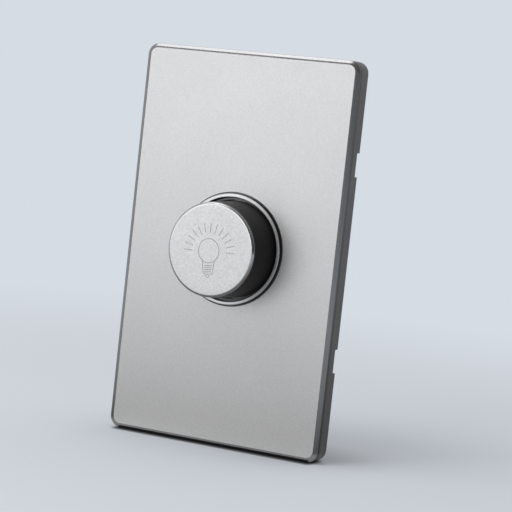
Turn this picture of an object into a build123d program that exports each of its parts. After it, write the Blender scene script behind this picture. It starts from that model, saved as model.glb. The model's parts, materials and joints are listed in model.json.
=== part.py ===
from build123d import *
from math import isclose
import os

# Wall dimmer with a turning knob: cover plate, knob, rotary control, strap, circuit and rear housing.
# Millimetres. X runs right, Z runs up, the wall is the plane Y = 0 and the front looks towards -Y.
# A height is a distance in front of the wall, so what sits inside the wall box has negative heights.

# Cover plate
PLATE_WIDTH = 70.0
PLATE_HEIGHT = 118.0
PLATE_DEPTH = 7.0
PLATE_CORNER = 3.5
PANEL_THICKNESS = 1.8
OUTER_SLOPE_WIDTH = 0.8
OUTER_SLOPE_DROP = 0.55
INNER_SLOPE_WIDTH = 0.5
INNER_SLOPE_DROP = 0.15
FRAME_WALL = 2.0
FRAME_WEB = 1.5
SEAM_CHAMFER = 0.35
NOTCH_LENGTH = 7.0
NOTCH_DEPTH = 1.7
NOTCH_SPACING = 58.0
RIB_THICKNESS = 1.2
RIB_STRAP_GAP = 4.0
RIB_FOOT = 1.6
RIB_PITCH = 24.0
RIB_COUNT = 5
COLLAR_WALL = 1.4
COLLAR_GAP = 0.9
COLLAR_DROP = 1.3

# Knob and the ring round it
KNOB_RIM_RADIUS = 14.0
KNOB_TAPER = 0.5
KNOB_REACH = 12.7
KNOB_SINK = 2.4
KNOB_WALL = 1.6
KNOB_FRONT_WALL = 2.2
KNOB_RIB = 1.2
KNOB_RIB_COUNT = 6
KNOB_RIB_SETBACK = 2.4
HUB_WALL = 1.95
HUB_GAP = 0.6
CAP_SIDE = 1.0
CAP_ROUND = 0.75
CAP_SHOULDER = 2.0
CAP_SPIGOT_DEPTH = 0.8
CAP_FIT = 0.1
KNOB_GAP = 0.3
BEZEL_LEDGE = 0.55
BEZEL_LEDGE_DEPTH = 0.5
BEZEL_GROOVE = 0.3
BEZEL_GROOVE_DEPTH = 0.6
BEZEL_WALL = 1.2
BEZEL_LIP = 0.6
BEZEL_FOOT = 0.4
BEZEL_FOOT_SINK = 0.3
BEZEL_PROUD = 1.3
BEZEL_OUTER_ROUND = 0.25
BEZEL_INNER_CHAMFER = 0.05
BEZEL_FIT = 0.05
BEZEL_LUG_COUNT = 3
BEZEL_LUG_WIDTH = 5.0
BEZEL_LUG_PROUD = 0.5
BEZEL_LUG_HEIGHT = 1.1
BEZEL_LUG_GAP = 0.1

# Rotary control
SHAFT_RADIUS = 3.0
SHAFT_FLAT = 1.5
SHAFT_FLAT_GAP = 0.5
SHAFT_RUNNING_GAP = 0.05
SHAFT_GRIP = 9.0
SHAFT_FLANGE_STEP = 1.0
SHAFT_FLANGE = 0.8
SHAFT_SPIGOT_STEP = 1.0
SHAFT_TIP_GAP = 0.3
CLIP_THICKNESS = 0.5
CLIP_WIDTH = 3.6
CLIP_FOOT = 2.6
SMALL_FIT = 0.05
BUSH_WALL = 0.45
BUSH_PROUD = 0.9
CONTROL_PLATE_THICKNESS = 1.2
CONTROL_CORNER = 2.0
PIN_WIDTH = 2.6
PIN_THICKNESS = 1.2
WASHER_RIM = 2.1
WASHER_THICKNESS = 0.6
WASHER_TEETH = 12
WASHER_TOOTH_GAP = 1.1
NUT_FLATS = 10.0
NUT_THICKNESS = 2.0
CAN_RADIUS = 8.0
CAN_WALL = 0.5
CAN_DEPTH = 8.0
ROTOR_THICKNESS = 2.4
STOP_OVERLAP = 1.0
STOP_GAP = 0.4
STOP_HALF_ANGLE = 21.0
OFF_ANGLE = 225.0
STOP_ANGLE = 270.0
WIPER_THICKNESS = 0.3
WIPER_HOLE_GAP = 0.4
WIPER_INSET = 0.8
WIPER_ARM_WIDTH = 1.4
WIPER_REACH = 0.9
WIPER_DROP = 1.2
WIPER_TRACK_GAP = 0.1
WAFER_THICKNESS = 1.0
WAFER_FIT = 0.1
WAFER_HOLE_GAP = 0.5
TONGUE_WIDTH = 11.0
TONGUE_REACH = 3.2
TONGUE_FIT = 0.2
LUG_COUNT = 3
LUG_PITCH = 4.0
LUG_WIDTH = 1.4
LUG_THICKNESS = 0.5
LUG_INSET = 1.0
DECK_STEP = 1.2
DECK_DEPTH = 5.6
DECK_CORNER = 2.0
DECK_CHAMFER = 0.5
DECK_LUG_PITCH = 8.0

# Strap
STRAP_THICKNESS = 1.2
STRAP_OVERHANG = 1.0
STRAP_SHOULDER = 3.0
STRAP_END_GAP = 4.0
EAR_WIDTH = 34.0
EAR_CORNER = 5.0
STRAP_FLANGE = 2.0
STRAP_FLANGE_SETBACK = 3.0
STRAP_BEND = 0.4
SCREW_SPACING = 83.5
SLOT_WIDTH = 4.2
SLOT_LENGTH = 8.0
HOOK_X = 11.0
HOOK_OFFSET = 6.0
HOOK_WIDTH = 6.0
HOOK_THICKNESS = 1.4
HOOK_BARB = 0.7
HOOK_BARB_HEIGHT = 1.6
HOOK_FIT = 0.1
HOOK_FLEX = 1.0

# Rear housing and its screws
HOUSING_WIDTH = 44.0
HOUSING_HEIGHT = 60.0
HOUSING_DEPTH = 25.0
HOUSING_WALL = 1.6
HOUSING_CORNER = 3.0
HOUSING_EDGE = 1.2
BOSS_RADIUS = 3.0
BOSS_MERGE = 0.6
SCREW_RADIUS = 1.5
SCREW_LENGTH = 10.0
SCREW_HEAD_RADIUS = 2.8
SCREW_HEAD = 1.7
SCREW_HEAD_EDGE = 0.5
SCREW_CLEARANCE = 0.2
SCREW_BITE_GAP = 0.02
VENT_COUNT = 5
VENT_PITCH = 4.6
VENT_WIDTH = 2.0
VENT_LENGTH = 10.0
VENT_START = 6.0
POST_RADIUS = 2.0
POST_PIN_RADIUS = 1.0
POST_PIN_PROUD = 0.5
POST_INSET = 1.0
POST_SPACING = 7.5

# Wire terminals on the right side of the housing
TERMINAL_Z = 9.0
POCKET_START = 5.0
POCKET_HEIGHT = 9.5
POCKET_WIDTH = 9.0
POCKET_DEPTH = 4.0
TERMINAL_THICKNESS = 1.2
TERMINAL_FIT = 0.4
TAIL_THICKNESS = 0.8
TAIL_WIDTH = 2.0
WIRE_SCREW_RADIUS = 1.7
WIRE_SCREW_TIP = 2.0
WIRE_SCREW_HEAD_RADIUS = 3.6
WIRE_SCREW_HEAD = 2.0
WIRE_SCREW_LIFT = 0.3
DRIVER_SLOT_WIDTH = 0.9
DRIVER_SLOT_DEPTH = 0.9

# Circuit
BOARD_THICKNESS = 1.6
BOARD_GAP = 0.4
BOARD_CLEARANCE = 2.6
LEAD_PROUD = 1.0
LEAD_RADIUS = 0.35
LEAD_BEND = 0.8
LEAD_HOLE_GAP = 0.2
HEAT_PLATE_SIDE_GAP = 1.0
HEAT_PLATE_END_GAP = 2.0
HEAT_PLATE_THICKNESS = 1.5
TRIAC_MARGIN = 1.0
TRIAC_WIDTH = 10.0
TRIAC_TAB_HEIGHT = 6.4
TRIAC_TAB_THICKNESS = 1.3
TRIAC_BODY_HEIGHT = 9.0
TRIAC_BODY_DEPTH = 4.5
TRIAC_LEAD_PITCH = 2.54
TRIAC_LEAD_WIDTH = 0.8
TRIAC_LEAD_THICKNESS = 0.5
TRIAC_LEAD_DEPTH = 2.7
TRIAC_LEAD_OUT = 1.2
TRIAC_INSET = 0.6
PAD_THICKNESS = 0.3
PAD_MARGIN = 0.6
RIVET_RADIUS = 1.5
RIVET_HEAD_RADIUS = 2.6
RIVET_HEAD = 0.8
RIVET_FIT = 0.05
CHOKE_FLANGE_RADIUS = 6.0
CHOKE_FLANGE = 1.6
CHOKE_NECK_RADIUS = 3.0
CHOKE_TURNS = 8
CHOKE_WIRE_RADIUS = 0.75
CHOKE_RIM = 0.5
CHOKE_SEAT_GAP = 0.05
FILTER_CAP_SIZE = (18.0, 8.0, 12.0)
FILTER_CAP_LEAD_PITCH = 15.0
TIMING_CAP_SIZE = (7.0, 4.5, 8.0)
TIMING_CAP_Z = -9.0
TIMING_CAP_LEAD_PITCH = 5.0
CAP_CORNER = 0.8
PART_SPACING = 1.0
AXIAL_Z = 0.5
RESISTOR_RADIUS = 1.2
RESISTOR_WAIST_RADIUS = 0.95
RESISTOR_LENGTH = 6.4
RESISTOR_CAP = 1.5
RESISTOR_COUNT = 2
DIAC_RADIUS = 0.95
DIAC_LENGTH = 4.0
AXIAL_LEAD_OUT = 1.6
AXIAL_SEAT_GAP = 0.2

# Heights worked out from the sizes above
WEB_FRONT = PLATE_DEPTH - PANEL_THICKNESS
WEB_BACK = WEB_FRONT - FRAME_WEB
KNOB_BASE = PLATE_DEPTH - KNOB_SINK
CAP_RIM = PLATE_DEPTH + KNOB_REACH
CAP_BACK = CAP_RIM - CAP_SIDE
KNOB_FRONT_INSIDE = CAP_BACK - KNOB_FRONT_WALL
NUT_BACK = STRAP_THICKNESS + WASHER_THICKNESS
BUSH_END = NUT_BACK + NUT_THICKNESS + BUSH_PROUD
HUB_END = BUSH_END + HUB_GAP + CLIP_THICKNESS
SHAFT_TIP = HUB_END + SHAFT_GRIP
BORE_END = SHAFT_TIP + SHAFT_TIP_GAP
CAN_FRONT = -CONTROL_PLATE_THICKNESS
CAN_BACK = CAN_FRONT - CAN_DEPTH
FLANGE_FRONT = CAN_FRONT - SMALL_FIT
ROTOR_FRONT = FLANGE_FRONT - SHAFT_FLANGE
ROTOR_BACK = ROTOR_FRONT - ROTOR_THICKNESS
WIPER_BACK = ROTOR_BACK - WIPER_THICKNESS
WAFER_FRONT = WIPER_BACK - WIPER_DROP - WIPER_TRACK_GAP
WAFER_BACK = WAFER_FRONT - WAFER_THICKNESS
DECK_BACK = CAN_BACK - DECK_DEPTH
FLOOR = -(HOUSING_DEPTH - HOUSING_WALL)
BOARD_FRONT = DECK_BACK - BOARD_CLEARANCE
BOARD_BACK = BOARD_FRONT - BOARD_THICKNESS
BOARD_LIFT = BOARD_BACK - FLOOR
LEAD_END = BOARD_BACK - LEAD_PROUD

# Radii and places worked out from the sizes above
KNOB_BASE_RADIUS = KNOB_RIM_RADIUS + KNOB_TAPER
CAP_SPIGOT_RADIUS = KNOB_RIM_RADIUS - CAP_SHOULDER
HUB_RADIUS = SHAFT_RADIUS + SMALL_FIT + HUB_WALL
BEZEL_BORE = KNOB_BASE_RADIUS + KNOB_GAP
BEZEL_STEP = BEZEL_BORE + BEZEL_LEDGE + BEZEL_GROOVE
BEZEL_TUBE = BEZEL_BORE + BEZEL_WALL
BEZEL_RADIUS = BEZEL_TUBE + BEZEL_LIP
BEZEL_FOOT_RADIUS = BEZEL_RADIUS + BEZEL_FOOT
PANEL_HOLE = BEZEL_FOOT_RADIUS + BEZEL_FIT
FRAME_HOLE = BEZEL_TUBE + BEZEL_FIT
SHAFT_FLANGE_RADIUS = SHAFT_RADIUS + SHAFT_FLANGE_STEP
SHAFT_SPIGOT_RADIUS = SHAFT_RADIUS - SHAFT_SPIGOT_STEP
BUSH_RADIUS = SHAFT_RADIUS + SHAFT_RUNNING_GAP + BUSH_WALL
WASHER_RADIUS = BUSH_RADIUS + WASHER_RIM
CONTROL_PLATE = 2 * CAN_RADIUS
CAN_BORE = CAN_RADIUS - CAN_WALL
STOP_LUG_RADIUS = CAN_BORE - STOP_GAP
STOP_INNER = STOP_LUG_RADIUS - STOP_OVERLAP
ROTOR_RADIUS = STOP_INNER - STOP_GAP
WIPER_RADIUS = ROTOR_RADIUS - WIPER_INSET
WIPER_HOLE_RADIUS = SHAFT_SPIGOT_RADIUS + WIPER_HOLE_GAP
WAFER_HOLE_RADIUS = SHAFT_SPIGOT_RADIUS + WAFER_HOLE_GAP
DECK_WIDTH = 2 * (CAN_RADIUS - DECK_STEP)
STRAP_WIDTH = HOUSING_WIDTH + 2 * STRAP_OVERHANG
STRAP_BODY = HOUSING_HEIGHT + 2 * STRAP_SHOULDER
STRAP_LENGTH = PLATE_HEIGHT - 2 * (FRAME_WALL + STRAP_END_GAP)
HOOK_Z = HOUSING_HEIGHT / 2 + HOOK_OFFSET
RIB_X = STRAP_WIDTH / 2 + RIB_STRAP_GAP
RIB_OUTER_X = (PLATE_WIDTH - FRAME_WALL) / 2
INNER_HALF_WIDTH = HOUSING_WIDTH / 2 - HOUSING_WALL
INNER_HALF_HEIGHT = HOUSING_HEIGHT / 2 - HOUSING_WALL
BOSS_X = INNER_HALF_WIDTH - BOSS_RADIUS + BOSS_MERGE
BOSS_Z = INNER_HALF_HEIGHT - BOSS_RADIUS + BOSS_MERGE
POST_X = BOSS_X - POST_INSET
POST_Z = BOSS_Z - POST_SPACING
BETWEEN_BOSSES = BOSS_X - BOSS_RADIUS
TONGUE_END = CAN_RADIUS + TONGUE_REACH
LUG_Z = -(TONGUE_END - LUG_INSET)
POCKET_FLOOR = HOUSING_WIDTH / 2 - POCKET_DEPTH
POCKET_MIDDLE = -(POCKET_START + POCKET_HEIGHT / 2)
TAIL_X = POCKET_FLOOR + TAIL_THICKNESS / 2
HEAT_PLATE_TOP = INNER_HALF_HEIGHT - BOARD_GAP
HEAT_PLATE_WIDTH = 2 * (BETWEEN_BOSSES - HEAT_PLATE_SIDE_GAP)
HEAT_PLATE_HEIGHT = HEAT_PLATE_TOP - CONTROL_PLATE / 2 - HEAT_PLATE_END_GAP
HEAT_PLATE_BACK = -HEAT_PLATE_THICKNESS
TRIAC_X = -(HEAT_PLATE_WIDTH / 2 - TRIAC_MARGIN - TRIAC_WIDTH / 2)
TRIAC_FRONT = HEAT_PLATE_BACK - PAD_THICKNESS
TRIAC_TOP = HEAT_PLATE_TOP - TRIAC_INSET
TRIAC_BODY_TOP = TRIAC_TOP - TRIAC_TAB_HEIGHT
TRIAC_BODY_END = TRIAC_BODY_TOP - TRIAC_BODY_HEIGHT
RIVET_Z = TRIAC_TOP - TRIAC_TAB_HEIGHT / 2
TRIAC_LEAD_Z = TRIAC_BODY_END - TRIAC_LEAD_OUT
CHOKE_WINDING = 2 * CHOKE_WIRE_RADIUS * CHOKE_TURNS
CHOKE_LENGTH = CHOKE_WINDING + 2 * CHOKE_FLANGE
CHOKE_WINDING_RADIUS = CHOKE_FLANGE_RADIUS - CHOKE_RIM
CHOKE_X = BETWEEN_BOSSES - PART_SPACING - CHOKE_FLANGE_RADIUS
CHOKE_TOP = INNER_HALF_HEIGHT - PART_SPACING
CHOKE_MIDDLE = CHOKE_TOP - CHOKE_LENGTH / 2
CHOKE_AXIS = BOARD_FRONT + CHOKE_SEAT_GAP + CHOKE_FLANGE_RADIUS
FILTER_CAP_X = -(BETWEEN_BOSSES - PART_SPACING - FILTER_CAP_SIZE[0] / 2)
FILTER_CAP_Z = -(INNER_HALF_HEIGHT - PART_SPACING - FILTER_CAP_SIZE[1] / 2)
TIMING_CAP_X = -(CAN_RADIUS + PART_SPACING + TIMING_CAP_SIZE[0] / 2)
DIAC_X = CAN_RADIUS + PART_SPACING + DIAC_RADIUS
RESISTOR_X = -(CAN_RADIUS + PART_SPACING + RESISTOR_RADIUS)
RESISTOR_PITCH = 2 * RESISTOR_RADIUS + PART_SPACING
RESISTOR_LEAD = RESISTOR_LENGTH / 2 + AXIAL_LEAD_OUT
DIAC_LEAD = DIAC_LENGTH / 2 + AXIAL_LEAD_OUT
RESISTOR_AXIS = BOARD_FRONT + AXIAL_SEAT_GAP + RESISTOR_RADIUS
DIAC_AXIS = BOARD_FRONT + AXIAL_SEAT_GAP + DIAC_RADIUS

# Tolerance for picking edges by their place
TOLERANCE = 1e-4

# Section of a turned piece: first coordinate the radius, second the height
TURNED = Plane(origin=(0, 0, 0), x_dir=(1, 0, 0), z_dir=(0, 0, -1))


def at_height(height):
    """Plane parallel to the wall that looks into the room: X to the right, Z up."""
    return Plane.XZ.offset(height)


def across(z):
    """Level section plane at a given Z: X to the right, height above the wall upwards."""
    return Plane(origin=(0, 0, z), x_dir=(1, 0, 0), z_dir=(0, 0, -1))


def from_side(x):
    """Upright section plane at a given X that looks along +X: Z upwards, height to the left."""
    return Plane(origin=(x, 0, 0), x_dir=(0, 1, 0), z_dir=(1, 0, 0))


def stop_sector(inner, outer, middle_angle):
    """Ring sector that is one of the two meeting stops, as a flat sketch to be added to another."""
    first = middle_angle - STOP_HALF_ANGLE
    with BuildSketch() as sector:
        with BuildLine():
            inner_arc = CenterArc((0, 0), inner, first, 2 * STOP_HALF_ANGLE)
            outer_arc = CenterArc((0, 0), outer, first, 2 * STOP_HALF_ANGLE)
            Line(inner_arc @ 0, outer_arc @ 0)
            Line(inner_arc @ 1, outer_arc @ 1)
        make_face()
    return sector.sketch


def export(piece, name):
    """Label a finished piece and write its STEP file."""
    piece.part.label = name
    export_step(piece.part, f"parts/{name}.step")


os.makedirs("parts", exist_ok=True)

# Front panel: flat satin face with a double slope round its edge and the knob opening
with BuildPart() as front_panel:
    with BuildSketch(at_height(WEB_FRONT)):
        RectangleRounded(PLATE_WIDTH, PLATE_HEIGHT, PLATE_CORNER)
    extrude(amount=PANEL_THICKNESS - OUTER_SLOPE_DROP - INNER_SLOPE_DROP)
    slope_heights = (
        PLATE_DEPTH - INNER_SLOPE_DROP - OUTER_SLOPE_DROP,
        PLATE_DEPTH - INNER_SLOPE_DROP,
        PLATE_DEPTH,
    )
    slope_insets = (0, OUTER_SLOPE_WIDTH, OUTER_SLOPE_WIDTH + INNER_SLOPE_WIDTH)
    for low in range(2):
        for level in (low, low + 1):
            inset = slope_insets[level]
            with BuildSketch(at_height(slope_heights[level])):
                RectangleRounded(PLATE_WIDTH - 2 * inset, PLATE_HEIGHT - 2 * inset, PLATE_CORNER - inset)
        loft(ruled=True)
    with BuildSketch(at_height(WEB_FRONT)):
        Circle(PANEL_HOLE)
    extrude(amount=PANEL_THICKNESS, mode=Mode.SUBTRACT)
export(front_panel, "front_panel")

# Panel frame: skirt and web behind the panel, with ribs, pry notches and snap hooks
with BuildPart() as panel_frame:
    with BuildSketch(at_height(0)):
        RectangleRounded(PLATE_WIDTH, PLATE_HEIGHT, PLATE_CORNER)
    extrude(amount=WEB_FRONT)
    chamfer(panel_frame.faces().sort_by(Axis.Y)[0].edges(), SEAM_CHAMFER)
    with BuildSketch(at_height(0)):
        RectangleRounded(
            PLATE_WIDTH - 2 * FRAME_WALL, PLATE_HEIGHT - 2 * FRAME_WALL, PLATE_CORNER - FRAME_WALL
        )
    extrude(amount=WEB_BACK, mode=Mode.SUBTRACT)
    with BuildSketch(at_height(RIB_FOOT)):
        with GridLocations(2 * RIB_X, 0, 2, 1):
            Rectangle(RIB_THICKNESS, PLATE_HEIGHT - FRAME_WALL)
        with GridLocations(RIB_X + RIB_OUTER_X, RIB_PITCH, 2, RIB_COUNT):
            Rectangle(RIB_OUTER_X - RIB_X, RIB_THICKNESS)
    extrude(amount=WEB_BACK - RIB_FOOT)
    collar_bore = FRAME_HOLE + BEZEL_LUG_PROUD + COLLAR_GAP
    with BuildSketch(at_height(WEB_BACK - COLLAR_DROP)):
        Circle(collar_bore + COLLAR_WALL)
        Circle(collar_bore, mode=Mode.SUBTRACT)
    extrude(amount=COLLAR_DROP)
    with BuildSketch(at_height(WEB_BACK)):
        Circle(FRAME_HOLE)
    extrude(amount=FRAME_WEB, mode=Mode.SUBTRACT)
    with BuildSketch(at_height(0)):
        with GridLocations(PLATE_WIDTH - FRAME_WALL, NOTCH_SPACING, 2, 2):
            Rectangle(2 * FRAME_WALL, NOTCH_LENGTH)
    extrude(amount=NOTCH_DEPTH, mode=Mode.SUBTRACT)
    hook_outer = HOOK_X + HOOK_THICKNESS
    barb_top = -HOOK_FIT
    barb_end = barb_top - HOOK_BARB_HEIGHT
    for side in (-1, 1):
        with BuildSketch(across(-HOOK_Z), across(HOOK_Z)):
            with BuildLine():
                Polyline(
                    (side * HOOK_X, WEB_BACK),
                    (side * hook_outer, WEB_BACK),
                    (side * hook_outer, barb_top),
                    (side * (hook_outer + HOOK_BARB), barb_top),
                    (side * hook_outer, barb_end),
                    (side * HOOK_X, barb_end),
                    close=True,
                )
            make_face()
        extrude(amount=HOOK_WIDTH / 2, both=True)
export(panel_frame, "panel_frame")

# Knob bezel: turned ring with a flat band, a ledge inside a groove, a sunk foot and a snap-in tube
with BuildPart() as knob_bezel:
    tube_end = WEB_BACK - BEZEL_LUG_GAP - BEZEL_LUG_HEIGHT
    crest = PLATE_DEPTH + BEZEL_PROUD
    band_outer = BEZEL_RADIUS - BEZEL_OUTER_ROUND
    ledge = PLATE_DEPTH - BEZEL_LEDGE_DEPTH
    groove_floor = ledge - BEZEL_GROOVE_DEPTH
    ledge_edge = BEZEL_STEP - BEZEL_GROOVE
    foot_top = PLATE_DEPTH - BEZEL_FOOT_SINK
    with BuildSketch(TURNED):
        with BuildLine():
            RadiusArc(
                (BEZEL_RADIUS, crest - BEZEL_OUTER_ROUND),
                (band_outer, crest),
                -BEZEL_OUTER_ROUND,
            )
            Polyline(
                (band_outer, crest),
                (BEZEL_STEP + BEZEL_INNER_CHAMFER, crest),
                (BEZEL_STEP, crest - BEZEL_INNER_CHAMFER),
                (BEZEL_STEP, groove_floor),
                (ledge_edge, groove_floor),
                (ledge_edge, ledge),
                (BEZEL_BORE, ledge),
                (BEZEL_BORE, tube_end),
                (BEZEL_TUBE, tube_end),
                (BEZEL_TUBE, WEB_FRONT),
                (BEZEL_FOOT_RADIUS, WEB_FRONT),
                (BEZEL_FOOT_RADIUS, foot_top),
                (BEZEL_RADIUS, foot_top),
                (BEZEL_RADIUS, crest - BEZEL_OUTER_ROUND),
            )
        make_face()
    revolve(axis=Axis.Y)
    with BuildSketch(at_height(tube_end)):
        with PolarLocations(BEZEL_TUBE, BEZEL_LUG_COUNT):
            Rectangle(2 * BEZEL_LUG_PROUD, BEZEL_LUG_WIDTH)
        Circle(BEZEL_BORE, mode=Mode.SUBTRACT)
    extrude(amount=BEZEL_LUG_HEIGHT)
export(knob_bezel, "knob_bezel")

# Knob body: tapered cup with a hub, a flatted bore and radial ribs
with BuildPart() as knob_body:
    with BuildSketch(TURNED):
        with BuildLine():
            Polyline(
                (0, KNOB_FRONT_INSIDE),
                (KNOB_RIM_RADIUS - KNOB_WALL, KNOB_FRONT_INSIDE),
                (KNOB_BASE_RADIUS - KNOB_WALL, KNOB_BASE),
                (KNOB_BASE_RADIUS, KNOB_BASE),
                (KNOB_RIM_RADIUS, CAP_BACK),
                (CAP_SPIGOT_RADIUS + CAP_FIT, CAP_BACK),
                (CAP_SPIGOT_RADIUS + CAP_FIT, CAP_BACK - CAP_SPIGOT_DEPTH),
                (0, CAP_BACK - CAP_SPIGOT_DEPTH),
                close=True,
            )
        make_face()
    revolve(axis=Axis.Y)
    rib_end = HUB_END + KNOB_RIB_SETBACK
    with BuildSketch(at_height(rib_end)):
        with PolarLocations((KNOB_RIM_RADIUS - KNOB_WALL / 2) / 2, KNOB_RIB_COUNT):
            Rectangle(KNOB_RIM_RADIUS - KNOB_WALL / 2, KNOB_RIB)
    extrude(amount=KNOB_FRONT_INSIDE - rib_end)
    with BuildSketch(at_height(HUB_END)):
        Circle(HUB_RADIUS)
    extrude(amount=KNOB_FRONT_INSIDE - HUB_END)
    bore_flat = SHAFT_FLAT + CLIP_THICKNESS + 2 * SMALL_FIT
    bore_radius = SHAFT_RADIUS + SMALL_FIT
    with BuildSketch(at_height(HUB_END)):
        Circle(bore_radius)
        with Locations((0, bore_flat)):
            Rectangle(2 * bore_radius, bore_radius, align=(Align.CENTER, Align.MIN), mode=Mode.SUBTRACT)
    extrude(amount=BORE_END - HUB_END, mode=Mode.SUBTRACT)
export(knob_body, "knob_body")

# Knob cap: metal disc with a polished round edge and a spigot that is glued into the cup
with BuildPart() as knob_cap:
    face_radius = KNOB_RIM_RADIUS - CAP_ROUND
    face_height = CAP_RIM + CAP_ROUND
    with BuildSketch(TURNED):
        with BuildLine():
            RadiusArc((KNOB_RIM_RADIUS, CAP_RIM), (face_radius, face_height), -CAP_ROUND)
            Polyline(
                (face_radius, face_height),
                (0, face_height),
                (0, CAP_BACK - CAP_SPIGOT_DEPTH),
                (CAP_SPIGOT_RADIUS, CAP_BACK - CAP_SPIGOT_DEPTH),
                (CAP_SPIGOT_RADIUS, CAP_BACK),
                (KNOB_RIM_RADIUS, CAP_BACK),
                (KNOB_RIM_RADIUS, CAP_RIM),
            )
        make_face()
    revolve(axis=Axis.Y)
export(knob_cap, "knob_cap")

# Knob clip: bent steel leaf between the shaft's flat and the hub
with BuildPart() as knob_clip:
    clip_inner = SHAFT_FLAT + SMALL_FIT
    clip_outer = clip_inner + CLIP_THICKNESS
    with BuildSketch(from_side(0)):
        with BuildLine():
            Polyline(
                (-SHAFT_TIP, clip_inner),
                (-SHAFT_TIP, clip_outer),
                (-HUB_END, clip_outer),
                (-HUB_END, clip_inner + CLIP_FOOT),
                (-(HUB_END - CLIP_THICKNESS), clip_inner + CLIP_FOOT),
                (-(HUB_END - CLIP_THICKNESS), clip_inner),
                close=True,
            )
        make_face()
    extrude(amount=CLIP_WIDTH / 2, both=True)
export(knob_clip, "knob_clip")

# Control shaft: round spindle with a flat, a retaining flange and a spigot for the rotor
with BuildPart() as control_shaft:
    with BuildSketch(TURNED):
        with BuildLine():
            Polyline(
                (0, WIPER_BACK),
                (SHAFT_SPIGOT_RADIUS, WIPER_BACK),
                (SHAFT_SPIGOT_RADIUS, ROTOR_FRONT),
                (SHAFT_FLANGE_RADIUS, ROTOR_FRONT),
                (SHAFT_FLANGE_RADIUS, FLANGE_FRONT),
                (SHAFT_RADIUS, FLANGE_FRONT),
                (SHAFT_RADIUS, SHAFT_TIP),
                (0, SHAFT_TIP),
                close=True,
            )
        make_face()
    revolve(axis=Axis.Y)
    flat_start = HUB_END - CLIP_THICKNESS - SHAFT_FLAT_GAP
    with BuildSketch(at_height(flat_start)):
        with Locations((0, SHAFT_FLAT)):
            Rectangle(2 * SHAFT_RADIUS, SHAFT_RADIUS, align=(Align.CENTER, Align.MIN))
    extrude(amount=SHAFT_TIP - flat_start, mode=Mode.SUBTRACT)
export(control_shaft, "control_shaft")

# Control bush: threaded neck on a square plate, with a pin that stops the control from turning
with BuildPart() as control_bush:
    with BuildSketch(at_height(CAN_FRONT)):
        RectangleRounded(CONTROL_PLATE, CONTROL_PLATE, CONTROL_CORNER)
    extrude(amount=CONTROL_PLATE_THICKNESS)
    with BuildSketch(at_height(0)):
        Circle(BUSH_RADIUS)
    extrude(amount=BUSH_END)
    pin_x = WASHER_RADIUS + PIN_THICKNESS
    with BuildSketch(at_height(0)):
        with Locations((pin_x, 0)):
            Rectangle(PIN_THICKNESS, PIN_WIDTH)
    extrude(amount=STRAP_THICKNESS)
    with BuildSketch(at_height(CAN_FRONT)):
        Circle(SHAFT_RADIUS + SHAFT_RUNNING_GAP)
    extrude(amount=BUSH_END - CAN_FRONT, mode=Mode.SUBTRACT)
export(control_bush, "control_bush")

# Toothed washer and nut that hold the control to the strap
with BuildPart() as control_washer:
    with BuildSketch(at_height(STRAP_THICKNESS)):
        Circle(WASHER_RADIUS)
        with PolarLocations(WASHER_RADIUS, WASHER_TEETH):
            Rectangle(WASHER_TOOTH_GAP, WASHER_TOOTH_GAP, mode=Mode.SUBTRACT)
        Circle(BUSH_RADIUS + SMALL_FIT, mode=Mode.SUBTRACT)
    extrude(amount=WASHER_THICKNESS)
export(control_washer, "control_washer")

with BuildPart() as control_nut:
    with BuildSketch(at_height(NUT_BACK)):
        RegularPolygon(NUT_FLATS / 2, 6, major_radius=False)
        Circle(BUSH_RADIUS + SMALL_FIT, mode=Mode.SUBTRACT)
    extrude(amount=NUT_THICKNESS)
export(control_nut, "control_nut")

# Control can: drawn cover with a stop inside and a window for the terminal tongue
with BuildPart() as control_can:
    with BuildSketch(at_height(CAN_BACK)):
        Circle(CAN_RADIUS)
    extrude(amount=CAN_DEPTH)
    with BuildSketch(at_height(CAN_BACK + CAN_WALL)):
        Circle(CAN_BORE)
    extrude(amount=CAN_DEPTH - CAN_WALL, mode=Mode.SUBTRACT)
    with BuildSketch(at_height(ROTOR_BACK)):
        add(stop_sector(STOP_INNER, CAN_BORE + CAN_WALL / 2, STOP_ANGLE))
    extrude(amount=ROTOR_THICKNESS)
    with BuildSketch(at_height(WAFER_BACK - TONGUE_FIT)):
        with Locations((0, -CAN_RADIUS)):
            Rectangle(TONGUE_WIDTH + 2 * TONGUE_FIT, CAN_RADIUS)
    extrude(amount=WAFER_THICKNESS + 2 * TONGUE_FIT, mode=Mode.SUBTRACT)
export(control_can, "control_can")

# Rotor, wiper and resistive wafer inside the can
with BuildPart() as control_rotor:
    with BuildSketch(at_height(ROTOR_BACK)):
        Circle(ROTOR_RADIUS)
        add(stop_sector(ROTOR_RADIUS - STOP_GAP, STOP_LUG_RADIUS, OFF_ANGLE))
        Circle(SHAFT_SPIGOT_RADIUS + SMALL_FIT, mode=Mode.SUBTRACT)
    extrude(amount=ROTOR_THICKNESS)
export(control_rotor, "control_rotor")

with BuildPart() as control_wiper:
    with BuildSketch(at_height(WIPER_BACK)):
        Circle(WIPER_RADIUS)
        Circle(WIPER_HOLE_RADIUS, mode=Mode.SUBTRACT)
    extrude(amount=WIPER_THICKNESS)
    tip = WIPER_RADIUS + WIPER_REACH
    for side in (-1, 1):
        with BuildSketch(TURNED):
            with BuildLine():
                Polyline(
                    (side * (WIPER_RADIUS - WIPER_REACH), WIPER_BACK + WIPER_THICKNESS / 2),
                    (side * WIPER_RADIUS, WIPER_BACK + WIPER_THICKNESS / 2),
                    (side * tip, WIPER_BACK - WIPER_DROP + WIPER_THICKNESS),
                    (side * tip, WIPER_BACK - WIPER_DROP),
                    (side * (tip - WIPER_THICKNESS), WIPER_BACK - WIPER_DROP),
                    close=True,
                )
            make_face()
        extrude(amount=WIPER_ARM_WIDTH / 2, both=True)
export(control_wiper, "control_wiper")

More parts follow.
